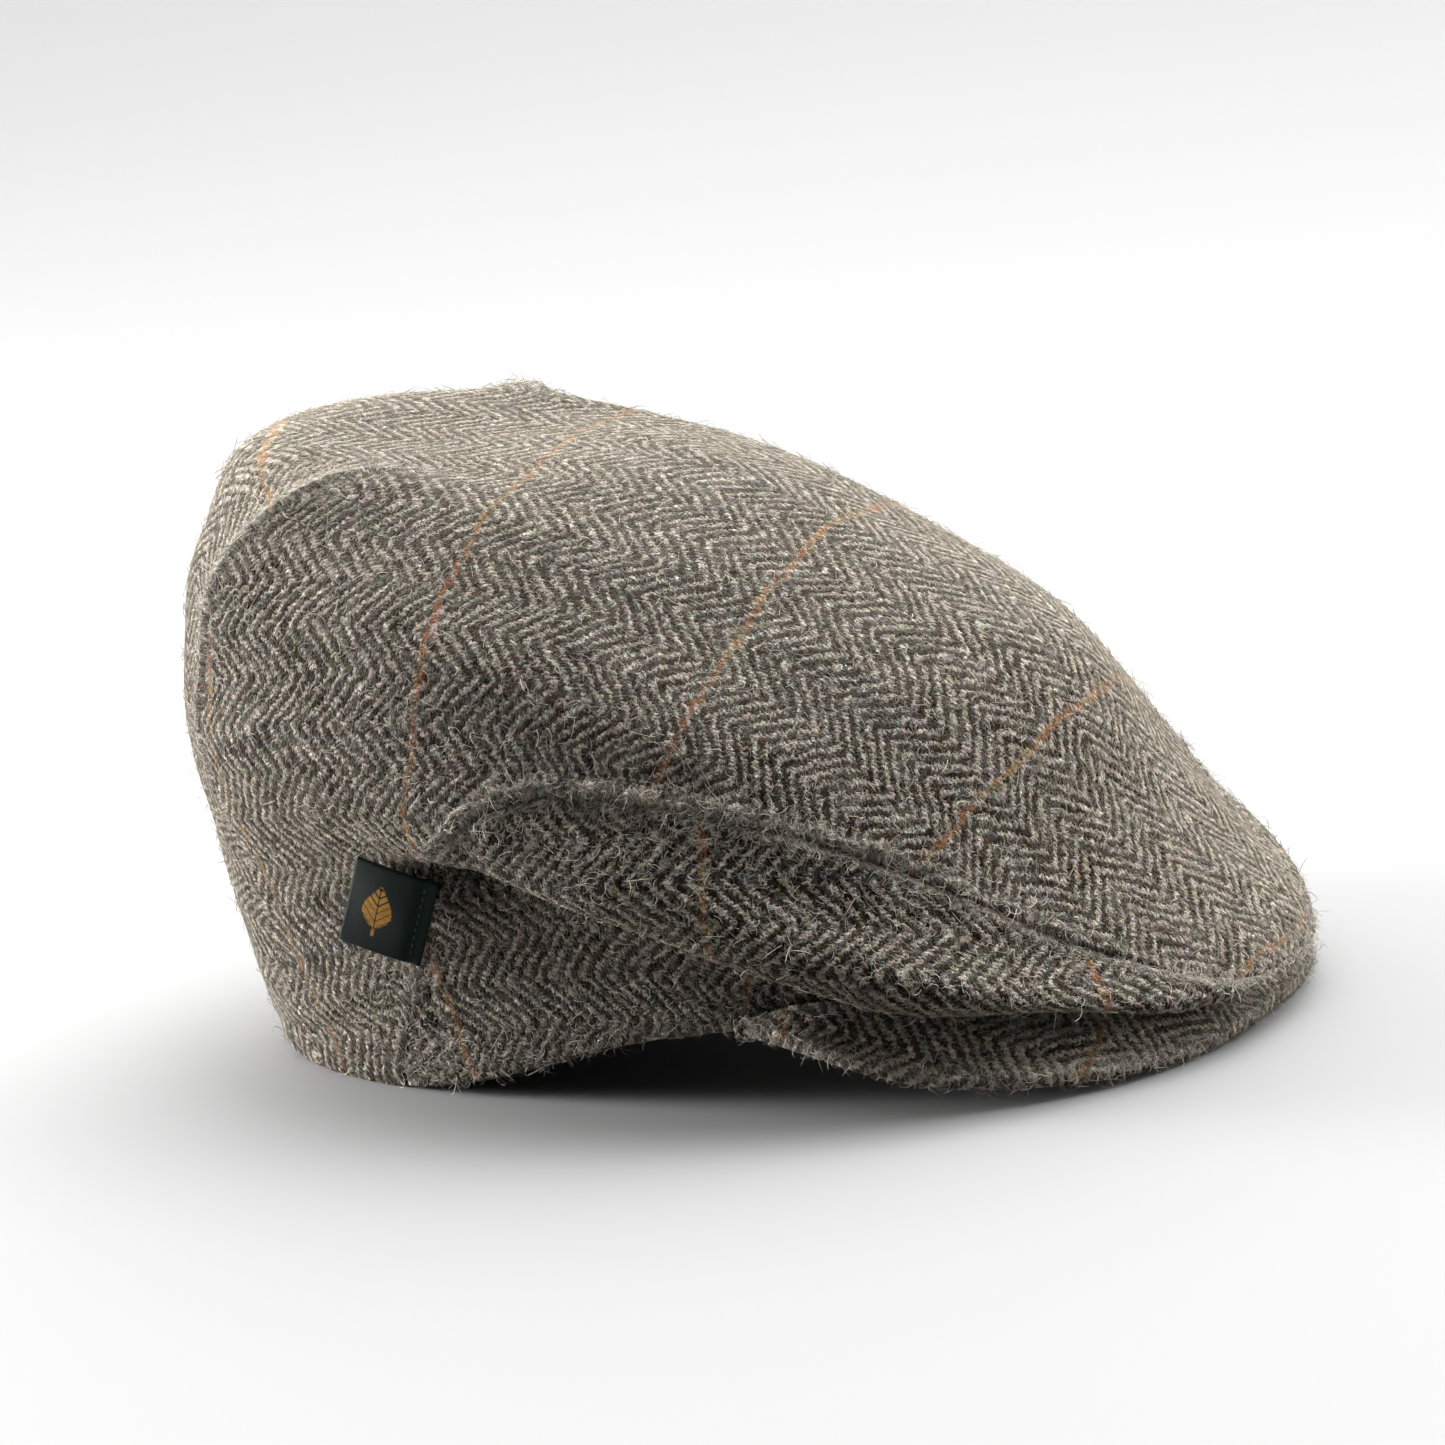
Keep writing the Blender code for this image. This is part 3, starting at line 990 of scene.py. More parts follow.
    def weave(self, bench: Bench, cloth: Socket) -> Woven:
        """Weave the light ends over and under the dark picks, two by two.

        Args:
            bench: Where the nodes go.
            cloth: The cloth map.

        Returns:
            The bare weave.
        """
        u, v = self.wandered(bench, cloth)
        columns = bench.math("DIVIDE", u, self.column)
        column = bench.math("FLOOR", columns)
        odd = bench.math("FLOORED_MODULO", column, 2.0)
        slant = bench.graded(odd, (-2.0, 1.0))
        ends = bench.math("MULTIPLY", bench.math("FRACT", columns), float(self.ends))
        end = bench.math("FLOOR", ends)
        x = bench.math("FRACT", ends)
        picks = bench.math("DIVIDE", v, self.pick)
        pick = bench.math("FLOOR", picks)
        y = bench.math("FRACT", picks)
        shifted = bench.math("MULTIPLY_ADD", slant, end, picks)
        shifted = bench.math("MULTIPLY_ADD", odd, 2.0, shifted)
        step = bench.math("FLOORED_MODULO", shifted, 4.0)
        over = bench.step(step, *self.float_edge)
        back = bench.math("SUBTRACT", bench.math("FLOOR", step), 2.0)
        left = bench.math("MULTIPLY_ADD", slant, bench.math("SUBTRACT", x, 0.5), 0.5)
        along = bench.math("MULTIPLY", bench.math("ADD", back, left), 0.5)
        high = self.dab(bench, x, bench.math("MULTIPLY", step, 0.5))
        high = bench.math("MULTIPLY", over, high)
        low = self.dab(bench, y, along)
        low = bench.math("MULTIPLY", bench.math("SUBTRACT", 1.0, over), low)
        height = bench.math("MULTIPLY_ADD", low, self.weft_height, high)
        float_number = bench.math("FLOOR", bench.math("MULTIPLY", shifted, 0.25))
        lot = bench.chance(column, end, float_number)
        warp = self.yarn(bench, self.light, lot, self.warp_spread)
        stretch = bench.math("FLOOR", bench.math("DIVIDE", u, self.weft_run))
        lot = bench.chance(pick, stretch, self.weft_lot)
        weft = self.yarn(bench, self.dark, lot, self.weft_spread)
        number = bench.math("MULTIPLY_ADD", column, float(self.ends), end)
        navy = self.every(bench, number, self.navy_every, self.navy_first)
        rust = self.every(bench, pick, self.rust_every, self.rust_first)
        faded = bench.graded(self.rust_fade.on(bench, cloth), self.rust_kept)
        rust = bench.math("MULTIPLY", rust, faded)
        stain = self.rusty(bench, cloth)
        warp = bench.blend(bench.math("MULTIPLY", navy, self.navy_on_warp), warp, self.navy)
        weft = bench.blend(bench.math("MULTIPLY", rust, self.rust_on_weft), weft, stain)
        warp = bench.blend(bench.math("MULTIPLY", rust, self.rust_on_warp), warp, stain)
        # Painted shade: the colour darkens between the floats, where the weave is low.
        shade = bench.graded(bench.step(height, 0.0, self.groove_shade_top), self.groove_shade)
        colour = bench.scaled(bench.blend(over, weft, warp), shade)
        return Woven(colour, height, high, rust)

    def wandered(self, bench: Bench, cloth: Socket) -> list[Socket]:
        """Let the threads wander a little, as woven wool does.

        Args:
            bench: Where the nodes go.
            cloth: The cloth map.

        Returns:
            Millimetres across the cloth and along it.
        """
        places = bench.split(cloth)[:2]
        for scale, detail, reach in self.wander:
            drift = bench.split(bench.noise(cloth, scale, detail).outputs["Color"])
            for k in (0, 1):
                away = bench.math("SUBTRACT", drift[k], 0.5)
                places[k] = bench.math("MULTIPLY_ADD", away, reach, places[k])
        return places

    def dab(self, bench: Bench, across: Socket, along: Socket) -> Socket:
        """Give the rounded height of one float of yarn.

        Args:
            bench: Where the nodes go.
            across: 0 to 1 over the yarn's width.
            along: 0 to 1 along the float.

        Returns:
            Its height from 0 to 1.
        """
        side = bench.graded(across, (2.0, -1.0))
        side = bench.math("SUBTRACT", 1.0, bench.math("MULTIPLY", side, side))
        end = bench.math("ABSOLUTE", bench.graded(along, (2.0, -1.0)))
        end = bench.math("SUBTRACT", 1.0, bench.math("POWER", end, self.float_end))
        return bench.math("SQRT", bench.math("MAXIMUM", bench.math("MULTIPLY", side, end), 0.0))

    def yarn(self, bench: Bench, colour: Colour, lot: bpy.types.Node, spread: float) -> Socket:
        """Vary a yarn's colour from float to float.

        Args:
            bench: Where the nodes go.
            colour: Its mean colour.
            lot: A random node that holds each float's number.
            spread: How much the brightness varies.

        Returns:
            The colour.
        """
        bright = bench.graded(lot.outputs["Value"], (2 * spread, 1.0 - spread))
        plain = bench.scaled(colour, bright)
        return bench.blend(self.yarn_heather, plain, lot.outputs["Color"], "SOFT_LIGHT")

    def every(self, bench: Bench, number: Socket, apart: int, first: int) -> Socket:
        """Mark the threads of a check line.

        Args:
            bench: Where the nodes go.
            number: The thread's number.
            apart: How many threads lie between lines.
            first: The first marked thread.

        Returns:
            1 on the line and 0 elsewhere.
        """
        place = bench.math("SUBTRACT", number, float(first))
        place = bench.math("FLOORED_MODULO", place, float(apart))
        return bench.math("LESS_THAN", place, self.line_threads - 0.5)

    def felted(self, bench: Bench, cloth: Socket, worn: Socket) -> Socket:
        """Give how much felted wool hides the threads, most on rubbed cloth; upward cloth gets more
        pale cover as painted light.

        Args:
            bench: Where the nodes go.
            cloth: The cloth map.
            worn: How rubbed the cloth is, above 0 only.

        Returns:
            The cover, from 0 to 1.
        """
        worn = bench.math("MULTIPLY", worn, self.worn_felt)
        cover = bench.math("MULTIPLY_ADD", self.felting.on(bench, cloth), self.felt, worn)
        # Painted highlight: cloth facing upward is covered more.
        upward = bench.split(bench.node("ShaderNodeNewGeometry").outputs["Normal"])[2]
        upward = bench.step(upward, *self.top_light_slope)
        return bench.math("MULTIPLY_ADD", upward, self.top_painted_light, cover)

    def hair(self, bench: Bench, cloth: Socket, rust: Socket) -> Socket:
        """Give the heathered colour of the loose fibres.

        Args:
            bench: Where the nodes go.
            cloth: The cloth map.
            rust: How much rust yarn lies below.

        Returns:
            The colour.
        """
        heather = bench.noise(cloth, self.heather, 1.0).outputs["Color"]
        tint = bench.blend(self.heather_share, self.fluff, heather, "SOFT_LIGHT")
        tint = bench.scaled(tint, self.hair_mottle.on(bench, cloth))
        rust = bench.math("MULTIPLY", rust, self.rust_on_hair)
        return bench.blend(rust, tint, self.rusty(bench, cloth))

    def rusty(self, bench: Bench, cloth: Socket) -> Socket:
        """Give the check line's colour, which shifts between rust and ochre."""
        return bench.blend(self.ochre_parts.on(bench, cloth), self.rust, self.ochre)


@dataclass(frozen=True)
class FibreFinish:
    """Loose wool fibres that stand off the cloth."""

    colour: Colour = (0.34, 0.308, 0.255)
    tones: Grade = (0.9, 0.45)
    roughness: float = 0.85
    sheen: float = 0.2
    shine: float = 0.2

    def dress(self, name: str) -> bpy.types.Material:
        """Make the material.

        Args:
            name: Its name.

        Returns:
            The material, whose tone varies from fibre to fibre.
        """
        bench = Bench(name, self.colour, self.roughness)
        lot = bench.node("ShaderNodeAttribute", attribute_name="lot").outputs["Fac"]
        bench.paint(bench.scaled(self.colour, bench.graded(lot, self.tones)))
        bench.set(Sheen_Weight=self.sheen, Specular_IOR_Level=self.shine)
        return bench.material


@dataclass(frozen=True)
class LabelFinish:
    """Fine woven tape; the cloth map counts its own millimetres from its middle."""

    ground: Colour = (0.004, 0.014, 0.010)
    gold: Colour = (0.62, 0.30, 0.035)
    roughness: float = 0.55
    thread: float = 0.22
    warp_share: float = 0.8
    weft_run: float = 1.3
    thread_tones: Grade = (0.5, 0.75)
    # Painted shade: the colour darkens towards each thread's edges by this grade.
    weave_shade: Grade = (0.5, 0.6)
    relief: float = 0.00008
    leaf_height: float = 1.2
    leaf_centre: tuple[float, float] = (-2.6, 0.6)
    leaf_size: tuple[float, float] = (4.4, 6.0)
    leaf_taper: Grade = (-0.45, 0.75)
    leaf_stitch: float = 1.2
    midrib: float = 0.16
    vein: float = 2.1
    vein_share: float = 0.2
    stalk: tuple[float, float] = (1.0, 0.3)
    stalk_drop: float = 0.9
    sheen: float = 0.01
    sheen_roughness: float = 0.3
    shine: float = 0.12

    def dress(self, name: str) -> bpy.types.Material:
        """Make the material with a plain leaf woven in.

        Args:
            name: Its name.

        Returns:
            The material.
        """
        bench = Bench(name, self.ground, self.roughness)
        u, v, _ = bench.split(bench.cloth_map())
        rows = bench.math("DIVIDE", v, self.thread)
        warps = bench.math("FRACT", bench.math("DIVIDE", u, self.thread * self.warp_share))
        rib = bench.math("SINE", bench.math("MULTIPLY", bench.math("FRACT", rows), math.pi))
        wale = bench.math("SINE", bench.math("MULTIPLY", warps, math.pi))
        weave = bench.math("MULTIPLY", rib, wale)
        leaf = self.leaf(bench, u, v)
        run = bench.math("FLOOR", bench.math("DIVIDE", u, self.weft_run))
        lot = bench.chance(bench.math("FLOOR", rows), run)
        bright = bench.graded(lot.outputs["Value"], self.thread_tones)
        # Painted shade between the threads.
        bright = bench.math("MULTIPLY", bright, bench.graded(weave, self.weave_shade))
        bench.paint(bench.scaled(bench.blend(leaf, self.ground, self.gold), bright))
        bench.relief(bench.math("MULTIPLY_ADD", leaf, self.leaf_height, weave), self.relief)
        bench.set(Sheen_Weight=self.sheen, Sheen_Roughness=self.sheen_roughness)
        bench.set(Specular_IOR_Level=self.shine)
        return bench.material

    def leaf(self, bench: Bench, u: Socket, v: Socket) -> Socket:
        """Draw a plain pointed leaf with a midrib, side veins and a stalk.

        Args:
            bench: Where the nodes go.
            u: Millimetres across the label.
            v: Millimetres up it.

        Returns:
            1 in the leaf and 0 outside it.
        """
        step = self.thread * self.leaf_stitch
        x = bench.math("SNAP", bench.math("SUBTRACT", u, self.leaf_centre[0]), step)
        y = bench.math("SNAP", bench.math("SUBTRACT", v, self.leaf_centre[1]), step)
        share = bench.math("DIVIDE", y, self.leaf_size[1])
        bulge = bench.math("SUBTRACT", 1.0, bench.math("MULTIPLY", share, share))
        bulge = bench.math("MAXIMUM", bulge, 0.0)
        fuller = bench.graded(share, self.leaf_taper)
        edge = bench.math("MULTIPLY", bench.math("MULTIPLY", bulge, fuller), self.leaf_size[0])
        wide = bench.math("ABSOLUTE", x)
        body = bench.math("LESS_THAN", wide, bench.math("MAXIMUM", edge, 0.0))
        body = bench.math("MULTIPLY", body, bench.math("GREATER_THAN", wide, self.midrib))
        side = bench.math("DIVIDE", bench.math("SUBTRACT", y, wide), self.vein)
        side = bench.math("GREATER_THAN", bench.math("FRACT", side), self.vein_share)
        body = bench.math("MULTIPLY", body, side)
        low = bench.math("ADD", y, self.leaf_size[1] + self.stalk_drop)
        low = bench.math("LESS_THAN", bench.math("ABSOLUTE", low), self.stalk[0])
        stalk = bench.math("MULTIPLY", low, bench.math("LESS_THAN", wide, self.stalk[1]))
        return bench.math("MAXIMUM", body, stalk)


@dataclass(frozen=True)
class PlainFinish:
    """A plain, slightly uneven finish for thread and floor."""

    colour: Colour
    roughness: float
    unevenness: float = 0.08
    scale: float = 40.0

    def dress(self, name: str) -> bpy.types.Material:
        """Make the material.

        Args:
            name: Its name.

        Returns:
            The material.
        """
        bench = Bench(name, self.colour, self.roughness)
        place = bench.node("ShaderNodeTexCoord").outputs["Object"]
        spread = (self.unevenness, 1.0 - self.unevenness / 2)
        bench.paint(bench.scaled(self.colour, Mottle(self.scale, 2.0, spread).on(bench, place)))
        return bench.material


@dataclass
class MeshParts:
    """Points, faces and per-corner data of a mesh in the making."""

    points: Array
    faces: list[Array]
    corner_uv: Array
    point_data: dict[str, Array] = field(default_factory=dict)

    def make(self, name: str, material: bpy.types.Material) -> bpy.types.Object:
        """Turn the data into an object in the scene.

        Args:
            name: The object's name.
            material: Its material.

        Returns:
            The object.
        """
        loops = np.concatenate([face.reshape(-1) for face in self.faces]).astype(np.int32)
        sizes = np.concatenate([np.full(len(face), face.shape[1]) for face in self.faces])
        starts = np.concatenate([[0], np.cumsum(sizes)[:-1]]).astype(np.int32)
        if self.turned_in():
            order = np.concatenate([np.arange(s, s + n)[::-1] for s, n in zip(starts, sizes)])
            loops, self.corner_uv = loops[order], self.corner_uv[order]
        mesh = bpy.data.meshes.new(name)
        mesh.vertices.add(len(self.points))
        mesh.vertices.foreach_set("co", self.points.astype(np.float32).reshape(-1))
        mesh.loops.add(len(loops))
        mesh.loops.foreach_set("vertex_index", loops)
        mesh.polygons.add(len(starts))
        mesh.polygons.foreach_set("loop_start", starts)
        mesh.polygons.foreach_set("use_smooth", np.ones(len(starts), bool))
        mesh.update(calc_edges=True)
        layer = mesh.uv_layers.new(name="cloth")
        layer.uv.foreach_set("vector", self.corner_uv.astype(np.float32).reshape(-1))
        for key, values in self.point_data.items():
            made = mesh.attributes.new(key, "FLOAT", "POINT")
            made.data.foreach_set("value", values.astype(np.float32))
        mesh.materials.append(material)
        mesh.validate()
        item = bpy.data.objects.new(name, mesh)
        bpy.context.scene.collection.objects.link(item)
        log.info("%s: %d triangles", name, sum(len(f) * (f.shape[1] - 2) for f in self.faces))
        return item

    def turned_in(self) -> bool:
        """Tell whether the faces point inward.

        Returns:
            True if the mesh's signed volume is below 0.
        """
        total = 0.0
        for face in self.faces:
            for k in range(1, face.shape[1] - 1):
                total += np.linalg.det(self.points[face[:, [0, k, k + 1]]]).sum()
        return total < 0


def sheet_mesh(
    outer: Array, inner: Array, uv_outer: Array, uv_inner: Array, worn: Array
) -> MeshParts:
    """Close a strip of cloth with four rounded edges.

    Args:
        outer: Rows by columns of outer points.
        inner: Rows by columns of inner points, which may have fewer rows.
        uv_outer: The cloth map of the outer points.
        uv_inner: The cloth map of the inner points.
        worn: How rubbed each outer point is; below 0, how much painted shade it has.

    Returns:
        The mesh data.
    """
    noses, nose_uv = [], []
    for end, inside in ((-1, -2), (0, 1)):
        middle = (outer[end] + inner[end]) / 2
        way = unit(middle - (outer[inside] + inner[inside]) / 2)
        half = np.linalg.norm(outer[end] - inner[end], axis=-1, keepdims=True) / 2
        noses.append(middle + way * half * NOSE_SHARE)
        nose_uv.append((uv_outer[end] + uv_inner[end]) / 2)
    loop = np.concatenate([outer, noses[0][None], inner[::-1], noses[1][None]])
    uv = np.concatenate([uv_outer, nose_uv[0][None], uv_inner[::-1], nose_uv[1][None]])
    size, columns = loop.shape[:2]
    number = np.arange(size * columns).reshape(size, columns)
    a, b = number, np.roll(number, -1, axis=0)
    quads = np.stack([a[:, :-1], b[:, :-1], b[:, 1:], a[:, 1:]], -1).reshape(-1, 4)
    caps = []
    rows, below = len(outer), len(inner)
    for column, flip in ((0, True), (columns - 1, False)):
        for face in cap_faces(rows, below):
            line = number[face, column]
            caps.append(line[::-1] if flip else line)
    faces = [quads, np.array(caps)]
    corner_uv = np.concatenate([uv.reshape(-1, 2)[face.reshape(-1)] for face in faces])
    # The attribute carries rubbing, and below 0 painted shade.
    wear_and_shade_values = np.zeros((size, columns))
    wear_and_shade_values[:rows] = worn
    return MeshParts(loop.reshape(-1, 3), faces, corner_uv, {"worn": wear_and_shade_values.reshape(-1)})


def cap_faces(rows: int, below: int) -> list[list[int]]:
    """Close one end of a strip with triangles.

    Args:
        rows: How many outer points the end has.
        below: How many inner points it has.

    Returns:
        Triangles, as numbers round the loop: outer points, a nose, inner points, a nose.
    """
    size = rows + below + 2
    faces = [[size - 1, 0, size - 2], [rows - 1, rows, rows + 1]]
    up, down = 0, size - 2
    while up < rows - 1 or down > rows + 1:
        behind = (up + 1) * (below - 1) <= (size - 1 - down) * (rows - 1)
        if down == rows + 1 or (up < rows - 1 and behind):
            faces.append([up, up + 1, down])
            up += 1
        else:
            faces.append([up, down - 1, down])
            down -= 1
    return faces


@dataclass(frozen=True)
class Ridge:
    """A soft ridge: its height, how far off its line runs and how wide it is."""

    height: float
    place: float
    width: float

    def at(self, away: Array) -> Array:
        """Read how high it stands at each distance."""
        return self.height * bell(away, self.place, self.width)


@dataclass
class TopPanel:
    """The large top panel, with its rolled seam edge and two rear darts."""

    form: CapForm
    finish: TweedFinish
    main_columns: int = 400
    rear_columns: int = 76
    rows: int = 84
    near: tuple[float, ...] = (
        0.0, 0.0004, 0.0009, 0.0015, 0.0022, 0.003, 0.004, 0.0052, 0.0068, 0.009,
    )
    inner_every: int = 3
    dart_crowding: float = 1.6
    dart_crowding_width: float = 2.5
    seam_end: float = 0.25
    roll: Ridge = Ridge(0.0008, 0.0018, 0.0015)
    roll_drop: float = 0.0004
    roll_drop_width: float = 0.0006
    nubs: Ripple = Ripple(13, 0.0030, 1.3)
    pucker: Ridge = Ridge(0.0005, 0.0065, 0.005)
    puckers: tuple[Ripple, Ripple] = (Ripple(11, 0.0062, 0.5), Ripple(12, 0.013, 0.35))
    waves: tuple[Ripple, Ripple] = (Ripple(3, 0.075, 0.00065), Ripple(4, 0.024, 0.000225))
    wave_start: float = 0.6
    calm: Ridge = Ridge(1.0, 0.0, 0.004)
    dart_rows: tuple[float, float] = (1.0, 4.2)
    dart_tip: tuple[float, float] = (0.6, 0.1)
    dart_tuck: float = 0.0006
    dart_tuck_width: float = 0.0022
    dart_crest: Ridge = Ridge(0.0005, 0.0015, 0.0028)
    hem: Ridge = Ridge(0.0005, 0.0, 0.0008)
    seam_wear: Ridge = Ridge(1.0, 0.0014, 0.0014)
    dart_wear: Ridge = Ridge(0.7, 0.0012, 0.003)
    nose: float = 0.0006
    map_steps: int = 14
    map_close: int = 80
    map_main: int = 61
    map_rear: int = 13

    def build(self) -> bpy.types.Object:
        """Build and dress the panel.

        Returns:
            The object crown_cloth.
        """
        form, frame = self.form, self.form.seam_frame(1)
        degrees, starts = self.columns()
        theta = np.radians(degrees)
        edge = frame.level_at(around(degrees))
        apex = np.full(len(theta), APEX_LEVEL)
        level = form.levels_at(theta, edge, apex, np.array(self.near), self.rows)[:-1]
        grid = np.broadcast_to(theta, level.shape)
        base, normal = form.surface(grid, level), form.normal(grid, level)
        away = np.linalg.norm(base - base[:1], axis=-1) * frame.across_at(around(degrees))
        relief, worn = self.relief(grid, level, base, away, edge)
        outer, inner, kept = two_faces(base, normal, relief, form.cloth, self.inner_every)
        uv = self.cloth_map(degrees, level, edge, starts)
        parts = self.assemble((outer, inner), (uv, uv[kept]), worn, starts)
        return parts.make("crown_cloth", self.finish.dress("top_tweed"))

    def columns(self) -> tuple[Array, int]:
        """Space the columns, closer together at the darts.

        Returns:
            Degrees from the front, the darts' own columns twice, and where the rear begins.
        """
        made, dart = [], self.form.dart_angle
        for low, high, count in (
            (-dart, dart, self.main_columns), (dart, 360 - dart, self.rear_columns),
        ):
            fine = np.linspace(low, high, FINE_STEPS)
            near = np.abs(np.abs(around(fine)) - dart)
            pace = 1 + self.dart_crowding * np.exp(-near / self.dart_crowding_width)
            pace = self.form.reach(np.radians(fine), BULGE) * pace
            made.append(spaced(fine, pace, count))
        return np.concatenate(made), self.main_columns

    def relief(
        self, theta: Array, level: Array, base: Array, away: Array, edge: Array
    ) -> tuple[Array, Array]:
        """Work out how far the cloth stands proud of the smooth form.

        Args:
            theta: Angles of the grid.
            level: Levels of the grid.
            base: Points of the smooth form.
            away: Distance from the panel's edge.
            edge: Level of the edge, by column.

        Returns:
            Metres outward, and how rubbed the cloth is.
        """
        seamed = ramp(edge, 0.0, self.seam_end)[None]
        loud = seamed * self.form.seam_loudness(np.abs(around(np.degrees(theta))))
        puckers = sum(ripple.at(base) for ripple in self.puckers)
        roll = self.roll.at(away) * (1 + self.nubs.at(base)) + self.pucker.at(away) * puckers
        roll = roll - self.roll_drop * np.exp(-away / self.roll_drop_width)
        waves = sum(ripple.at(base) for ripple in self.waves)
        waves = waves * ramp(level, 0.0, self.wave_start) * (1 - self.calm.at(away) * seamed)
        off = self.form.dart_offset(theta, level)
        tip = (self.form.dart_top - before for before in self.dart_tip)
        fade = ramp(level, *self.dart_rows) * (1 - ramp(level, *tip))
        tuck = np.where(off > 0, 1.0, -1.0) * np.exp(-np.abs(off) / self.dart_tuck_width)
        dart = self.dart_tuck * tuck + self.dart_crest.at(off) * (1 + 0.4 * puckers)
        total = roll * loud + waves + dart * fade - self.hem.at(away) * (1 - seamed)
        worn = self.seam_wear.at(away) * loud + self.dart_wear.at(off) * fade
        return total, np.clip(worn, 0, 1)

    def cloth_map(self, degrees: Array, level: Array, edge: Array, starts: int) -> Array:
        """Lay the panel flat, slit along both darts, and read the map.

        Args:
            degrees: The fine grid's columns.
            level: The fine grid's levels.
            edge: The edge's level, by column.
            starts: Where the rear's columns begin.

        Returns:
            The cloth map, as rows by columns.
        """
        steps, main, rear, dart = self.map_steps, self.map_main, self.map_rear, self.form.dart_angle
        coarse = np.linspace(-dart, dart, main), np.linspace(dart, 360 - dart, rear)
        coarse = np.concatenate(coarse)
        low = self.form.seam_frame(1).level_at(around(coarse))
        share, close = np.linspace(0, 1, steps + 1), np.linspace(0, 1, self.map_close)
        at = low[None] + (APEX_LEVEL - low[None]) * share[:, None]
        theta = np.radians(np.broadcast_to(coarse, at.shape))
        points = self.form.surface(theta, at)
        fine = low + (APEX_LEVEL - low) * close[:, None]
        fine = self.form.plain(np.repeat(theta[:1], len(close), 0), fine)
        left = lengths_down(fine[::-1])[::-1]
        radius = np.stack([np.interp(share, close, column) for column in left.T], 1)
        start = radius[..., None] * np.stack([np.sin(theta), np.cos(theta)], -1)
        same = np.arange(at.size).reshape(at.shape)
        joined = at[:, main - 1] >= self.form.dart_top
        same[joined, main] = same[joined, main - 1]
        same[joined, -1] = same[joined, 0]
        same[-1, :] = same[-1, 0]
        flat = FlatCloth(points, same, start)
        flat.turn_to((steps, main // 2), (0, main // 2))
        row = (level - edge[None]) / (APEX_LEVEL - edge[None]) * steps
        whole, made = flat.uv, []
        for columns, turn, span, first, last in (
            (slice(None, starts), degrees + dart, 2 * dart, 0, main),
            (slice(starts, None), degrees - dart, 360 - 2 * dart, main, main + rear),
        ):
            flat.uv = whole[:, first:last]
            column = turn[columns] / span * (last - first - 1)
            made.append(flat.at(row[:, columns], np.broadcast_to(column, row[:, columns].shape)))
        return np.concatenate(made, axis=1)

    def assemble(
        self, sheets: tuple[Array, Array], maps: tuple[Array, Array], worn: Array, starts: int
    ) -> MeshParts:
        """Join the two faces at the edge and close them at the apex.

        Args:
            sheets: Rows by columns of outer points, and fewer rows of inner points.
            maps: The cloth map of both.
            worn: How rubbed the outer points are.
            starts: Where the rear's columns begin.

        Returns:
            The mesh data.
        """
        outer, inner = sheets
        middle = (outer[0] + inner[0]) / 2
        nose = middle + unit(middle - (outer[1] + inner[1]) / 2) * self.nose
        loop = np.concatenate([inner[::-1], nose[None], outer])
        uvs = np.concatenate([maps[1][::-1], maps[0][:1], maps[0]])
        size, count = loop.shape[:2]
        column = np.arange(count)
        column[starts:] -= 1
        column[starts] = starts - 1
        column[-1] = 0
        width = count - 2
        number = np.arange(size)[:, None] * width + column[None]
        points = np.zeros((size * width + 2, 3))
        points[number.reshape(-1)] = loop.reshape(-1, 3)
        apex = self.form.surface(np.array([0.0]), np.array([APEX_LEVEL]))[0]
        points[-2], points[-1] = apex, apex - np.array([0.0, 0.0, self.form.cloth])
        whole = np.concatenate([uvs.reshape(-1, 2), np.zeros((1, 2))])
        place = np.arange(size * count).reshape(size, count)
        faces, corner = [], []
        left = np.array([c for c in range(count - 1) if c != starts - 1])
        right = left + 1
        for table, top, bottom, keep in (
            (number, size * width, size * width + 1, faces),
            (place, size * count, size * count, corner),
        ):
            a, b = table[:-1], table[1:]
            quads = np.stack([a[:, left], a[:, right], b[:, right], b[:, left]], -1)
            fan = np.stack([table[-1, left], table[-1, right], np.full(len(left), top)], -1)
            floor = np.stack([table[0, right], table[0, left], np.full(len(left), bottom)], -1)
            keep += [quads.reshape(-1, 4), np.concatenate([fan, floor])]
        corner_uv = np.concatenate([whole[c.reshape(-1)] for c in corner])
        wear_and_shade_values = np.zeros((size, count))
        wear_and_shade_values[-len(worn):] = worn
        data = np.zeros(len(points))
        data[number.reshape(-1)] = wear_and_shade_values.reshape(-1)
        return MeshParts(points, faces, corner_uv, {"worn": data})


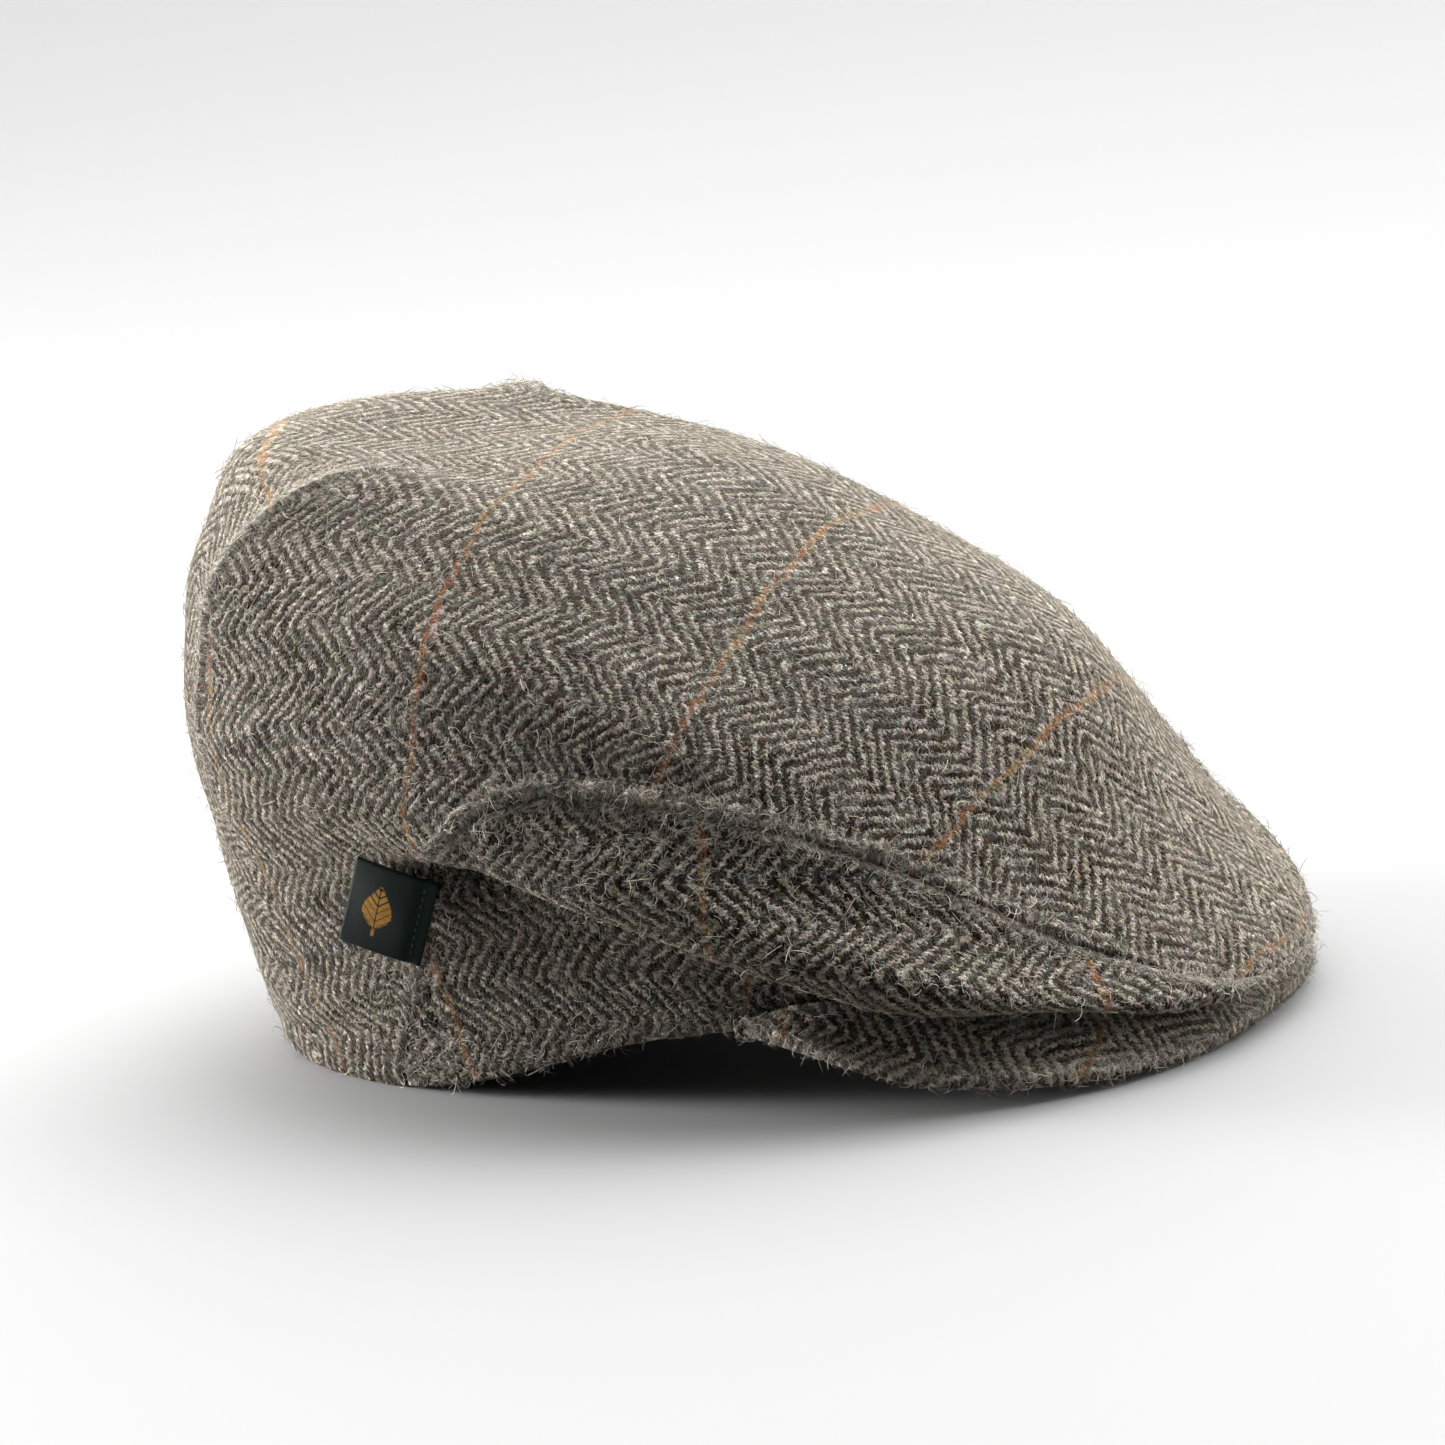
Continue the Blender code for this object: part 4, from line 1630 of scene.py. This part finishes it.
@dataclass
class SidePanel:
    """A side panel: overhang, crease and band, with its seam and hem edges."""

    form: CapForm
    finish: TweedFinish
    side: Side
    count: int = 280
    rows: int = 48
    near: tuple[float, ...] = (0.0, 0.0004, 0.0009, 0.0016, 0.0025, 0.0038, 0.0055)
    inner_every: int = 3
    tip_level: float = 0.4
    tip_lean: float = 9.0
    grain: float = 27.0
    allowance: float = 0.0013
    tuck: float = 0.0015
    turning: float = 0.0006
    drops: tuple[tuple[float, float], ...] = ((0.0009, 0.0006), (0.0004, 0.004))
    pucker: Ridge = Ridge(0.0006, 0.004, 0.007)
    puckers: tuple[Ripple, Ripple] = (Ripple(21, 0.0065, 0.5), Ripple(22, 0.014, 0.4))
    slow: Ripple = Ripple(23, 0.055, 0.0007)
    crumple: Ripple = Ripple(24, 0.03, 0.0006)
    crumple_way: Place = (0.5, 0.5, 1.6)
    crumple_levels: Ridge = Ridge(1.0, 1.8, 1.2)
    wave_start: float = 0.35
    hem: Ridge = Ridge(0.0004, 0.0, 0.05)
    seam_wear: Ridge = Ridge(0.9, 0.0006, 0.0012)
    hem_wear: Ridge = Ridge(0.15, 0.05, 0.12)
    # Painted shade round the crease under the overhang: the level it centres on, how much lower it
    # lies further back, its width in levels, the degrees over which it lowers, and those over which
    # it fades out.
    painted_shade_level: float = 1.70
    painted_shade_sink: float = 0.35
    painted_shade_width: float = 0.75
    painted_shade_lower: tuple[float, float] = (60.0, 95.0)
    painted_shade_end: tuple[float, float] = (118.0, 130.0)
    map_steps: int = 14
    map_columns: int = 56

    def build(self) -> bpy.types.Object:
        """Build and dress the panel.

        Returns:
            The object side_cloth_left or side_cloth_right.
        """
        form, frame = self.form, self.form.seam_frame(-1)
        last = float(frame.place_of(np.array(self.tip_level)))
        gap = math.degrees(form.panel_gap / 2 / (HEM.front * form.length))
        fine = np.linspace(gap, last, FINE_STEPS)
        degrees = spaced(fine, form.reach(np.radians(fine), UNDER), self.count)
        theta = np.radians(degrees)
        edge = np.interp(degrees, frame.places, frame.levels)
        bottom = np.zeros(len(theta))
        level = form.levels_at(theta, edge, bottom, np.array(self.near), self.rows)
        grid = np.broadcast_to(degrees, level.shape).copy()
        lean = ramp(degrees, last - self.tip_lean, last)
        leaning = np.maximum(frame.place_of(level) - (last - degrees), grid)
        grid = grid * (1 - lean) + lean * leaning
        theta = np.radians(grid) * self.side.value
        base, normal = form.surface(theta, level), form.normal(theta, level)
        away = np.linalg.norm(base - base[:1], axis=-1) * frame.across_at(degrees)[None]
        relief, worn = self.relief(grid, level, base, away)
        outer, inner, kept = two_faces(base, normal, relief, form.cloth, self.inner_every)
        up = base[0] + unit(base[0] - base[1]) * self.allowance
        outer = np.concatenate([(up - self.tuck * normal[0])[None], outer])
        inner = np.concatenate([(up - (self.tuck + self.turning) * normal[0])[None], inner])
        uv = self.cloth_map(degrees, level, edge)
        uv_inner = np.concatenate([uv[:1], uv[kept]])
        uv, worn = np.concatenate([uv[:1], uv]), np.concatenate([worn[:1], worn])
        parts = sheet_mesh(outer, inner, uv, uv_inner, worn)
        name = self.side.name.lower()
        return parts.make("side_cloth_" + name, self.finish.dress("side_tweed_" + name))

    def relief(
        self, degrees: Array, level: Array, base: Array, away: Array
    ) -> tuple[Array, Array]:
        """Work out how far the cloth stands proud of the smooth form.

        Args:
            degrees: Angles of the grid.
            level: Levels of the grid.
            base: Points of the smooth form.
            away: Distance below the seam.

        Returns:
            Metres outward, and how rubbed the cloth is; below 0 it holds painted shade in the fold.
        """
        drop = sum(height * np.exp(-away / width) for height, width in self.drops)
        drop = drop * self.form.seam_loudness(degrees)
        puckers = sum(ripple.at(base) for ripple in self.puckers)
        crumple = self.crumple.at(base * np.array(self.crumple_way))
        waves = self.slow.at(base) + crumple * self.crumple_levels.at(level)
        total = self.pucker.at(away) * puckers - drop
        total = total + waves * ramp(level, 0.0, self.wave_start) - self.hem.at(level)
        # Painted shade round the crease, taken off the rubbing so that it lies below 0.
        lowest = self.painted_shade_level - self.painted_shade_sink * ramp(degrees, *self.painted_shade_lower)
        painted_shade = bell(level, lowest, self.painted_shade_width) * (1 - ramp(degrees, *self.painted_shade_end))
        worn = self.seam_wear.at(away) + self.hem_wear.at(level) - painted_shade
        return total, np.clip(worn, -1, 1)

    def cloth_map(self, degrees: Array, level: Array, edge: Array) -> Array:
        """Lay the panel flat with its grain at a slant, and read the map.

        Args:
            degrees: The fine grid's columns.
            level: The fine grid's levels.
            edge: The edge's level, by column.

        Returns:
            The cloth map, as rows by columns.
        """
        steps, across = self.map_steps, self.map_columns
        coarse = np.linspace(degrees[0], degrees[-1], across)
        high = np.interp(coarse, degrees, edge)
        at = high[None] * np.linspace(1, 0, steps + 1)[:, None]
        theta = np.radians(np.broadcast_to(coarse, at.shape)) * self.side.value
        points = self.form.surface(theta, at)
        u, v = lengths_down(points[steps // 2]), lengths_down(points)
        start = np.stack([np.broadcast_to(u, at.shape), v - v[-1] / 2], -1)
        flat = FlatCloth(points, np.arange(at.size).reshape(at.shape), start)
        middle = int(np.argmin(np.abs(coarse - 90.0)))
        flat.turn_to((steps // 2, middle), (steps // 2, middle - 3), 90.0 - self.grain)
        row = (edge[None] - level) / np.maximum(edge[None], 1e-6) * steps
        column = (degrees - degrees[0]) / (degrees[-1] - degrees[0]) * (across - 1)
        return flat.at(row, np.broadcast_to(column, row.shape))


@dataclass
class Peak:
    """The stiff tweed-covered peak under the front overhang."""

    form: CapForm
    finish: TweedFinish
    thickness: float = 0.0036
    half_sweep: float = 74.0
    root_clearance: float = 0.0003
    edge_rounding: float = 0.8
    bulge: float = 0.0022
    columns: int = 190
    rows: int = 46
    grain: float = 8.0
    row_crowding: float = 0.85
    soft: Ripple = Ripple(31, 0.03, 0.0003)
    edge_roll: Ridge = Ridge(0.0005, 0.0012, 0.0016)
    edge_groove: Ridge = Ridge(0.0004, 0.0062, 0.0012)
    edge_wear: Ridge = Ridge(0.5, 0.0, 0.0022)

    def build(self) -> bpy.types.Object:
        """Build and dress the peak.

        Returns:
            The object peak_cloth.
        """
        table = np.array(PEAK_LINE)
        theta = np.radians(np.linspace(-self.half_sweep, self.half_sweep, self.columns))
        turned = np.abs(np.degrees(theta))
        rise, root_share, reach_share = (
            table_curve(turned, table[:, 0], table[:, column]) for column in (1, 2, 3)
        )
        hem, crease = self.form.ring_points(theta, HEM), self.form.ring_points(theta, CREASE)
        root = hem + (crease - hem) * root_share[:, None]
        flat = np.stack([np.cos(theta), np.sin(theta)], axis=-1)
        root[:, :2] += flat * (self.root_clearance + self.edge_rounding * self.thickness / 2)
        near = np.linalg.norm(root[:, :2], axis=1)
        far = near + (self.form.reach(theta, RIM) - near) * reach_share
        rise = rise * self.form.height + self.thickness
        rim = np.concatenate([flat * far[:, None], rise[:, None]], axis=1)
        part = np.linspace(0, 1, self.rows)[:, None, None] ** self.row_crowding
        upper = root[None] * (1 - part) + rim[None] * part
        span = np.linalg.norm(rim - root, axis=1)
        upper[..., 2] += self.bulge * np.sin(np.pi * part[..., 0]) * (span / span.max())[None]
        upper[..., 0] += self.form.shift
        normal = unit(np.cross(np.gradient(upper, axis=0), np.gradient(upper, axis=1)))
        edge = np.linalg.norm(upper - upper[-1:], axis=-1)
        relief = self.soft.at(upper) + self.edge_roll.at(edge) - self.edge_groove.at(edge)
        outer = upper + relief[..., None] * normal
        lower = above_floor(upper - self.thickness * normal)
        run = lengths_down(upper)
        middle = root[:, :2] + flat * span[:, None] / 2
        laid = middle[None] + flat[None] * (run - run[-1:] / 2)[..., None]
        folded = laid[-1:] * 2 - laid + flat[None] * self.thickness
        cos, sin = math.cos(math.radians(self.grain)), math.sin(math.radians(self.grain))
        maps = []
        for place in (laid, folded):
            x, y = place[..., 0], place[..., 1]
            maps.append(np.stack([y * cos - x * sin, x * cos + y * sin], -1) * 1000.0)
        parts = sheet_mesh(outer, lower, maps[0], maps[1], self.edge_wear.at(edge))
        return parts.make("peak_cloth", self.finish.dress("peak_tweed"))


@dataclass
class SideLabel:
    """The folded tape label at the right rear, sewn down one side, with its stitches."""

    form: CapForm
    finish: LabelFinish
    thread: PlainFinish
    width: float = 0.0195
    height: float = 0.0215
    thickness: float = 0.0012
    standoff: float = 0.0056
    angle: float = -127.0
    level: float = 0.94
    turn: float = -28.0
    lift: float = 12.0
    lean: float = 12.0
    bow: float = 0.0006
    wave: float = 0.00025
    wave_way: tuple[float, float] = (1.3, 3.1)
    press: float = 0.0004
    press_width: float = 0.12
    cells: int = 40
    stitches: int = 9
    stitch_line: float = 0.72
    stitch_reach: float = 0.86
    stitch_share: float = 0.58
    stitch_radius: float = 0.00016

    def sheet(self, above: float, across: Array, up: Array) -> Array:
        """Place points of the label's curved face.

        Args:
            above: Metres above its back.
            across: Shares of half the width, from the free side (-1).
            up: Shares of half the height.

        Returns:
            Points, in the last axis.
        """
        theta, level = np.radians(np.array([self.angle])), np.array([self.level])
        centre, normal = self.form.surface(theta, level)[0], self.form.normal(theta, level)[0]
        level_way = unit(np.cross([0.0, 0.0, 1.0], normal))
        upward = np.cross(normal, level_way)
        spin = math.radians(self.turn)
        way = level_way * math.cos(spin) + upward * math.sin(spin)
        along = np.cross(normal, way)
        centre = centre + normal * self.standoff
        lift, lean = math.radians(self.lift), math.radians(self.lean)
        normal = normal * math.cos(lift) + way * math.sin(lift)
        way = np.cross(along, normal)
        normal = normal * math.cos(lean) + along * math.sin(lean)
        along = np.cross(normal, way)
        wave = np.sin(self.wave_way[1] * up + self.wave_way[0] * across)
        wave = self.wave * wave * (1 - across) / 2
        pressed = self.press * bell(across, self.stitch_line, self.press_width)
        out = above - self.bow * across**2 + wave - pressed
        return (
            centre
            + way * (across * self.width / 2)[..., None]
            + along * (up * self.height / 2)[..., None]
            + normal * out[..., None]
        )

    def build(self) -> list[bpy.types.Object]:
        """Build the label and its stitches.

        Returns:
            The objects label_tape and label_stitches.
        """
        share = np.linspace(-1, 1, self.cells + 1)
        rows, columns = np.meshgrid(share, share, indexing="ij")
        outer = self.sheet(self.thickness, columns, rows)
        inner = self.sheet(0.0, columns, rows)
        uv = np.stack([columns * self.width / 2, rows * self.height / 2], -1) * 1000.0
        parts = sheet_mesh(outer, inner, uv, uv, np.zeros(rows.shape))
        return [parts.make("label_tape", self.finish.dress("label_weave")), self.sew()]

    def sew(self) -> bpy.types.Object:
        """Make the row of short stitches down the sewn side.

        Returns:
            The object label_stitches.
        """
        around_it, ends = 6, 5
        ways = np.linspace(-1, 1, ends)
        radius = self.stitch_radius * np.sqrt(np.maximum(1 - ways**2, 0.05))
        turn = np.linspace(0, 2 * math.pi, around_it, endpoint=False)
        cos, sin = np.cos(turn)[None, :, None], np.sin(turn)[None, :, None]
        across, reach = np.full(ends, self.stitch_line), self.stitch_reach
        points, faces = [], []
        for k in range(self.stitches):
            middle = -reach + 2 * reach * (k + 0.5) / self.stitches
            run = middle + self.stitch_share * reach / self.stitches * ways
            line = self.sheet(self.thickness, across, run)
            over = unit(self.sheet(self.thickness, across + 0.02, run) - line)[:, None]
            up = unit(self.sheet(self.thickness * 2, across, run) - line)[:, None]
            rings = line[:, None] + radius[:, None, None] * (cos * over + sin * up)
            points.append(rings.reshape(-1, 3))
            number = (k * ends + np.arange(ends))[:, None] * around_it + np.arange(around_it)
            a, b = number[:-1], number[1:]
            quads = np.stack([a, np.roll(a, -1, 1), np.roll(b, -1, 1), b], -1).reshape(-1, 4)
            first, final = number[0], number[-1]
            caps = [first[[0, 3, 2, 1]], first[[0, 5, 4, 3]], final[:4], final[[0, 3, 4, 5]]]
            faces.append(np.concatenate([quads, np.array(caps)]))
        faces = [np.concatenate(faces)]
        parts = MeshParts(np.concatenate(points), faces, np.zeros((faces[0].size, 2)))
        return parts.make("label_stitches", self.thread.dress("label_thread"))


@dataclass
class Nap:
    """Loose curly fibres that stand off one cloth piece."""

    cloth: bpy.types.Object
    name: str
    count: int
    seed: int
    length: tuple[float, float] = (0.0026, 0.0074)
    shortening: tuple[float, float] = (0.6, 1.0)
    rise: tuple[float, float] = (0.05, 0.50)
    curl: float = 1.5
    curl_growth: float = 1.6
    bend: tuple[float, float] = (-0.9, 0.15)
    bend_growth: float = 1.5
    radius: float = 0.000078
    thickness: tuple[float, float] = (0.6, 1.3)
    taper: tuple[float, float] = (1.1, 0.75)
    knots: int = 5
    worn_growth: float = 9.0
    least_growth: float = 0.4
    root_depth: float = 0.0002
    heart: float = 0.045
    least_height: float = 0.0003

    def build(self, material: bpy.types.Material) -> bpy.types.Object:
        """Grow the fibres.

        Args:
            material: Their material.

        Returns:
            The object that holds them all.
        """
        chance = np.random.default_rng(self.seed)
        root, normal = self.roots(chance)
        count = len(root)
        start = unit(np.cross(normal, unit(chance.normal(size=(count, 3)))))
        side = np.cross(normal, start)
        length = chance.uniform(*self.length, count) * chance.uniform(*self.shortening, count)
        rise = chance.uniform(*self.rise, count)
        curl = chance.normal(0.0, self.curl, count)
        bend = chance.uniform(*self.bend, count)
        share = np.linspace(0, 1, self.knots)
        spine = [root - normal * self.root_depth]
        for k in range(1, self.knots):
            middle = (share[k] + share[k - 1]) / 2
            turn = (curl * middle * self.curl_growth)[:, None]
            up = rise + bend * middle * self.bend_growth
            way = start * np.cos(turn) + side * np.sin(turn) + normal * up[:, None]
            spine.append(spine[-1] + unit(way) * (length / (self.knots - 1))[:, None])
        spine = np.stack(spine, axis=1)
        return self.tubes(spine, normal, chance).make(self.name, material)

    @staticmethod
    def read(rows: bpy.types.bpy_prop_collection, name: str, width: int, kind: type) -> Array:
        """Read numbers from a mesh.

        Args:
            rows: The mesh's vertices, triangles or attribute values.
            name: What is read of each.
            width: How many numbers each has.
            kind: The type of number.

        Returns:
            A row of numbers for each.
        """
        flat = np.empty(len(rows) * width, kind)
        rows.foreach_get(name, flat)
        return flat.reshape(-1, width)

    def roots(self, chance: np.random.Generator) -> tuple[Array, Array]:
        """Scatter the fibres' roots over the outer face.

        Args:
            chance: The seeded generator.

        Returns:
            Root points and outward normals.
        """
        mesh = self.cloth.data
        mesh.calc_loop_triangles()
        corners = self.read(mesh.loop_triangles, "vertices", 3, np.int32)
        points = self.read(mesh.vertices, "co", 3, np.float32)
        normals = self.read(mesh.vertices, "normal", 3, np.float32)
        worn = self.read(mesh.attributes["worn"].data, "value", 1, np.float32)[:, 0]
        whole = points[corners].astype(float)
        cross = np.cross(whole[:, 1] - whole[:, 0], whole[:, 2] - whole[:, 0])
        inside = np.array([whole[..., 0].mean(), 0.0, self.heart])
        facing = ((whole.mean(axis=1) - inside) * unit(cross)).sum(axis=1)
        growth = 1 + self.worn_growth * worn[corners].mean(axis=1)
        weight = np.linalg.norm(cross, axis=1) * (facing > 0)
        weight = weight * np.maximum(growth, self.least_growth)
        picked = chance.choice(len(corners), self.count, p=weight / weight.sum())
        share = chance.dirichlet([1.0, 1.0, 1.0], self.count)
        root = np.einsum("nk,nkd->nd", share, whole[picked])
        normal = np.einsum("nk,nkd->nd", share, normals[corners[picked]].astype(float))
        return root, unit(normal)

    def tubes(self, spine: Array, normal: Array, chance: np.random.Generator) -> MeshParts:
        """Wrap each fibre in a thin three-sided tube that tapers to a point.

        Args:
            spine: Fibres by knots of points.
            normal: Each fibre's cloth normal.
            chance: The seeded generator.

        Returns:
            The mesh data.
        """
        count, knots = spine.shape[:2]
        spine = above_floor(spine, self.least_height)
        way = unit(np.gradient(spine, axis=1))
        over = unit(np.cross(way, normal[:, None] + 0.01))
        up = np.cross(over, way)
        thick = self.radius * chance.uniform(*self.thickness, count)[:, None]
        thick = thick * np.linspace(*self.taper, knots - 1)[None]
        rings = []
        for turn in (0.0, 2 * math.pi / 3, 4 * math.pi / 3):
            aside = over[:, :-1] * math.cos(turn) + up[:, :-1] * math.sin(turn)
            rings.append(spine[:, :-1] + aside * thick[..., None])
        body = np.stack(rings, axis=2).reshape(count, -1, 3)
        points = np.concatenate([body, spine[:, -1:]], axis=1)
        size = points.shape[1]
        quads = []
        for k in range(0, 3 * (knots - 2), 3):
            for j, after in ((0, 1), (1, 2), (2, 0)):
                quads.append([k + j, k + after, k + 3 + after, k + 3 + j])
        last, tip = 3 * (knots - 2), size - 1
        ends = [[last, last + 1, tip], [last + 1, last + 2, tip], [last + 2, last, tip], [2, 1, 0]]
        offset = (np.arange(count) * size)[:, None, None]
        faces = [(np.array(quads)[None] + offset).reshape(-1, 4)]
        faces.append((np.array(ends)[None] + offset).reshape(-1, 3))
        lot = np.repeat(chance.uniform(0, 1, count), size)
        corner_uv = np.zeros((sum(face.size for face in faces), 2))
        return MeshParts(points.reshape(-1, 3), faces, corner_uv, {"lot": lot})


@dataclass(frozen=True)
class Softbox:
    """A soft square lamp that faces the cap: its place, the length of its side, its watts."""

    name: str
    place: Place
    size: float
    power: float
    aim: Place = (0.0, 0.0, 0.05)

    def hang(self) -> None:
        """Hang the lamp in the scene."""
        data = bpy.data.lights.new(self.name, "AREA")
        data.shape, data.size, data.energy = "SQUARE", self.size, self.power
        lamp = bpy.data.objects.new(self.name, data)
        lamp.location = self.place
        way = Vector(self.aim) - Vector(self.place)
        lamp.rotation_euler = way.to_track_quat("-Z", "Y").to_euler()
        bpy.context.scene.collection.objects.link(lamp)


@dataclass
class Studio:
    """Pale floor, soft light and the camera."""

    azimuth: float = 28.0
    elevation: float = 14.7
    roll: float = 7.4
    distance: float = 1.60
    pixels_per_metre: float = 4335.0
    image: float = 1445.0
    target: tuple[float, float, float] = (0.0094, 0.0, 0.06)
    target_pixel: tuple[float, float] = (784.8, 753.3)
    sensor: float = 36.0
    floor_size: float = 16.0
    floor_tone: float = 0.19
    lamps: tuple[Softbox, ...] = (
        Softbox("top_softbox", (0.35, 0.40, 1.6), 1.2, 50.0),
        Softbox("left_softbox", (-1.3, -0.20, 0.27), 0.42, 50.0),
        Softbox("right_softbox", (1.3, 0.45, 0.45), 0.7, 11.0),
    )
    bright_way: Place = (-0.50, 0.82, 0.05)
    # The surroundings rise from the third number to the fourth between the first two.
    surround: tuple[float, float, float, float] = (-0.10, 0.50, 0.045, 5.9)

    def camera(self) -> None:
        """Place the camera at the photograph's viewing angle."""
        a, e, r = (math.radians(v) for v in (self.azimuth, self.elevation, self.roll))
        back = Vector((math.sin(a) * math.cos(e), -math.cos(a) * math.cos(e), math.sin(e)))
        right = Vector((math.cos(a), math.sin(a), 0.0))
        up = back.cross(right)
        turned_right = right * math.cos(r) - up * math.sin(r)
        turned_up = up * math.cos(r) + right * math.sin(r)
        turn = Matrix((turned_right, turned_up, back)).transposed().to_4x4()
        data = bpy.data.cameras.new("studio_camera")
        data.sensor_width = self.sensor
        data.lens = self.pixels_per_metre * self.distance / self.image * self.sensor
        data.shift_x = -(self.target_pixel[0] - self.image / 2) / self.image
        data.shift_y = (self.target_pixel[1] - self.image / 2) / self.image
        camera = bpy.data.objects.new("studio_camera", data)
        camera.matrix_world = Matrix.Translation(Vector(self.target) + back * self.distance) @ turn
        bpy.context.scene.collection.objects.link(camera)
        bpy.context.scene.camera = camera

    def floor(self) -> bpy.types.Object:
        """Lay the pale floor.

        Returns:
            The floor.
        """
        half = self.floor_size / 2
        corners = ((-half, -half, 0), (half, -half, 0), (half, half, 0), (-half, half, 0))
        points = np.array(corners)
        parts = MeshParts(points, [np.array([[0, 1, 2, 3]])], np.zeros((4, 2)))
        paper = PlainFinish((self.floor_tone,) * 3, 0.9, 0.01, 3.0)
        floor = parts.make("studio_floor", paper.dress("floor_paper"))
        return floor

    def light(self) -> None:
        """Set the white surroundings, brightest behind the cap, and three soft lamps."""
        for lamp in self.lamps:
            lamp.hang()
        world = bpy.data.worlds.new("studio_white")
        world.use_nodes = True
        tree = world.node_tree
        place = tree.nodes.new("ShaderNodeTexCoord")
        aim = tree.nodes.new("ShaderNodeVectorMath")
        aim.operation = "DOT_PRODUCT"
        aim.inputs[1].default_value = self.bright_way
        fade = tree.nodes.new("ShaderNodeMapRange")
        fade.interpolation_type = "SMOOTHSTEP"
        for name, value in zip(("From Min", "From Max", "To Min", "To Max"), self.surround):
            fade.inputs[name].default_value = value
        tree.links.new(place.outputs["Generated"], aim.inputs[0])
        tree.links.new(aim.outputs["Value"], fade.inputs["Value"])
        tree.links.new(fade.outputs["Result"], tree.nodes["Background"].inputs["Strength"])
        tree.nodes["Background"].inputs["Color"].default_value = (1.0, 1.0, 1.0, 1.0)
        scene = bpy.context.scene
        scene.world = world
        scene.view_settings.view_transform = "Standard"
        scene.view_settings.look = "None"


def attach(piece: bpy.types.Object, slot: str, *nodes: str) -> None:
    """Let a piece ride on the cap and stand for CAD nodes.

    Args:
        piece: The piece.
        slot: The record's material slot; not used.
        nodes: The CAD nodes that it replaces.
    """
    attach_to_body(piece, "root")
    for node in nodes:
        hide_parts(node)
    log.info("%s rides on root and replaces %s", piece.name, ", ".join(nodes) or "nothing")


# The side panels get a darker copy of the top's tweed as painted shade, and the peak a lighter copy
# as painted light, both without felt.
SHADED_SIDE_TWEED = TweedFinish(
    light=(0.114, 0.099, 0.080), dark=(0.0110, 0.0052, 0.0019),
    rust_every=83, navy_first=38, felt=0.0,
)
LIT_PEAK_TWEED = TweedFinish(light=(0.248, 0.212, 0.168), felt=0.0)
DARK_THREAD = PlainFinish((0.03, 0.06, 0.045), 0.6)
TOP_FIBRES, SIDE_FIBRES, PEAK_FIBRES = 8200, 6400, 3000


def main() -> None:
    """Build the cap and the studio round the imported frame."""
    logging.basicConfig(level=logging.INFO, format="%(name)s: %(message)s")
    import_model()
    form = CapForm()
    rear = form.surface(np.array([np.pi] * 90), np.linspace(0, 6, 90))[:, 0].min()
    form.shift = float(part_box("crown_top")[0].x) - float(rear)
    log.info("the form lies %.4f m forward", form.shift)
    few = 1

    top = TopPanel(form, TweedFinish()).build()
    attach(top, "tweed_top", "crown_top")
    fibre = FibreFinish().dress("loose_wool")
    naps = [Nap(top, "nap_top_rear", TOP_FIBRES, 51), Nap(top, "nap_top_front", TOP_FIBRES, 52)]
    for side, seed in ((Side.RIGHT, 61), (Side.LEFT, 62)):
        panel = SidePanel(form, SHADED_SIDE_TWEED, side).build()
        attach(panel, "tweed_side", "side_panel_" + side.name.lower())
        naps.append(Nap(panel, "nap_side_" + side.name.lower(), SIDE_FIBRES, seed))
    peak = Peak(form, LIT_PEAK_TWEED).build()
    attach(peak, "tweed_peak", "peak")
    naps.append(Nap(peak, "nap_peak", PEAK_FIBRES, 71))
    tape, stitches = SideLabel(form, LabelFinish(), DARK_THREAD).build()
    attach(tape, "label_weave", "side_label")
    attach(stitches, "label_weave")
    for nap in naps:
        nap.count //= few
        attach(nap.build(fibre), "tweed_" + nap.name.split("_")[1])

    studio = Studio()
    studio.floor()
    studio.light()
    studio.camera()
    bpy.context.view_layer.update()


if __name__ == "__main__":
    main()
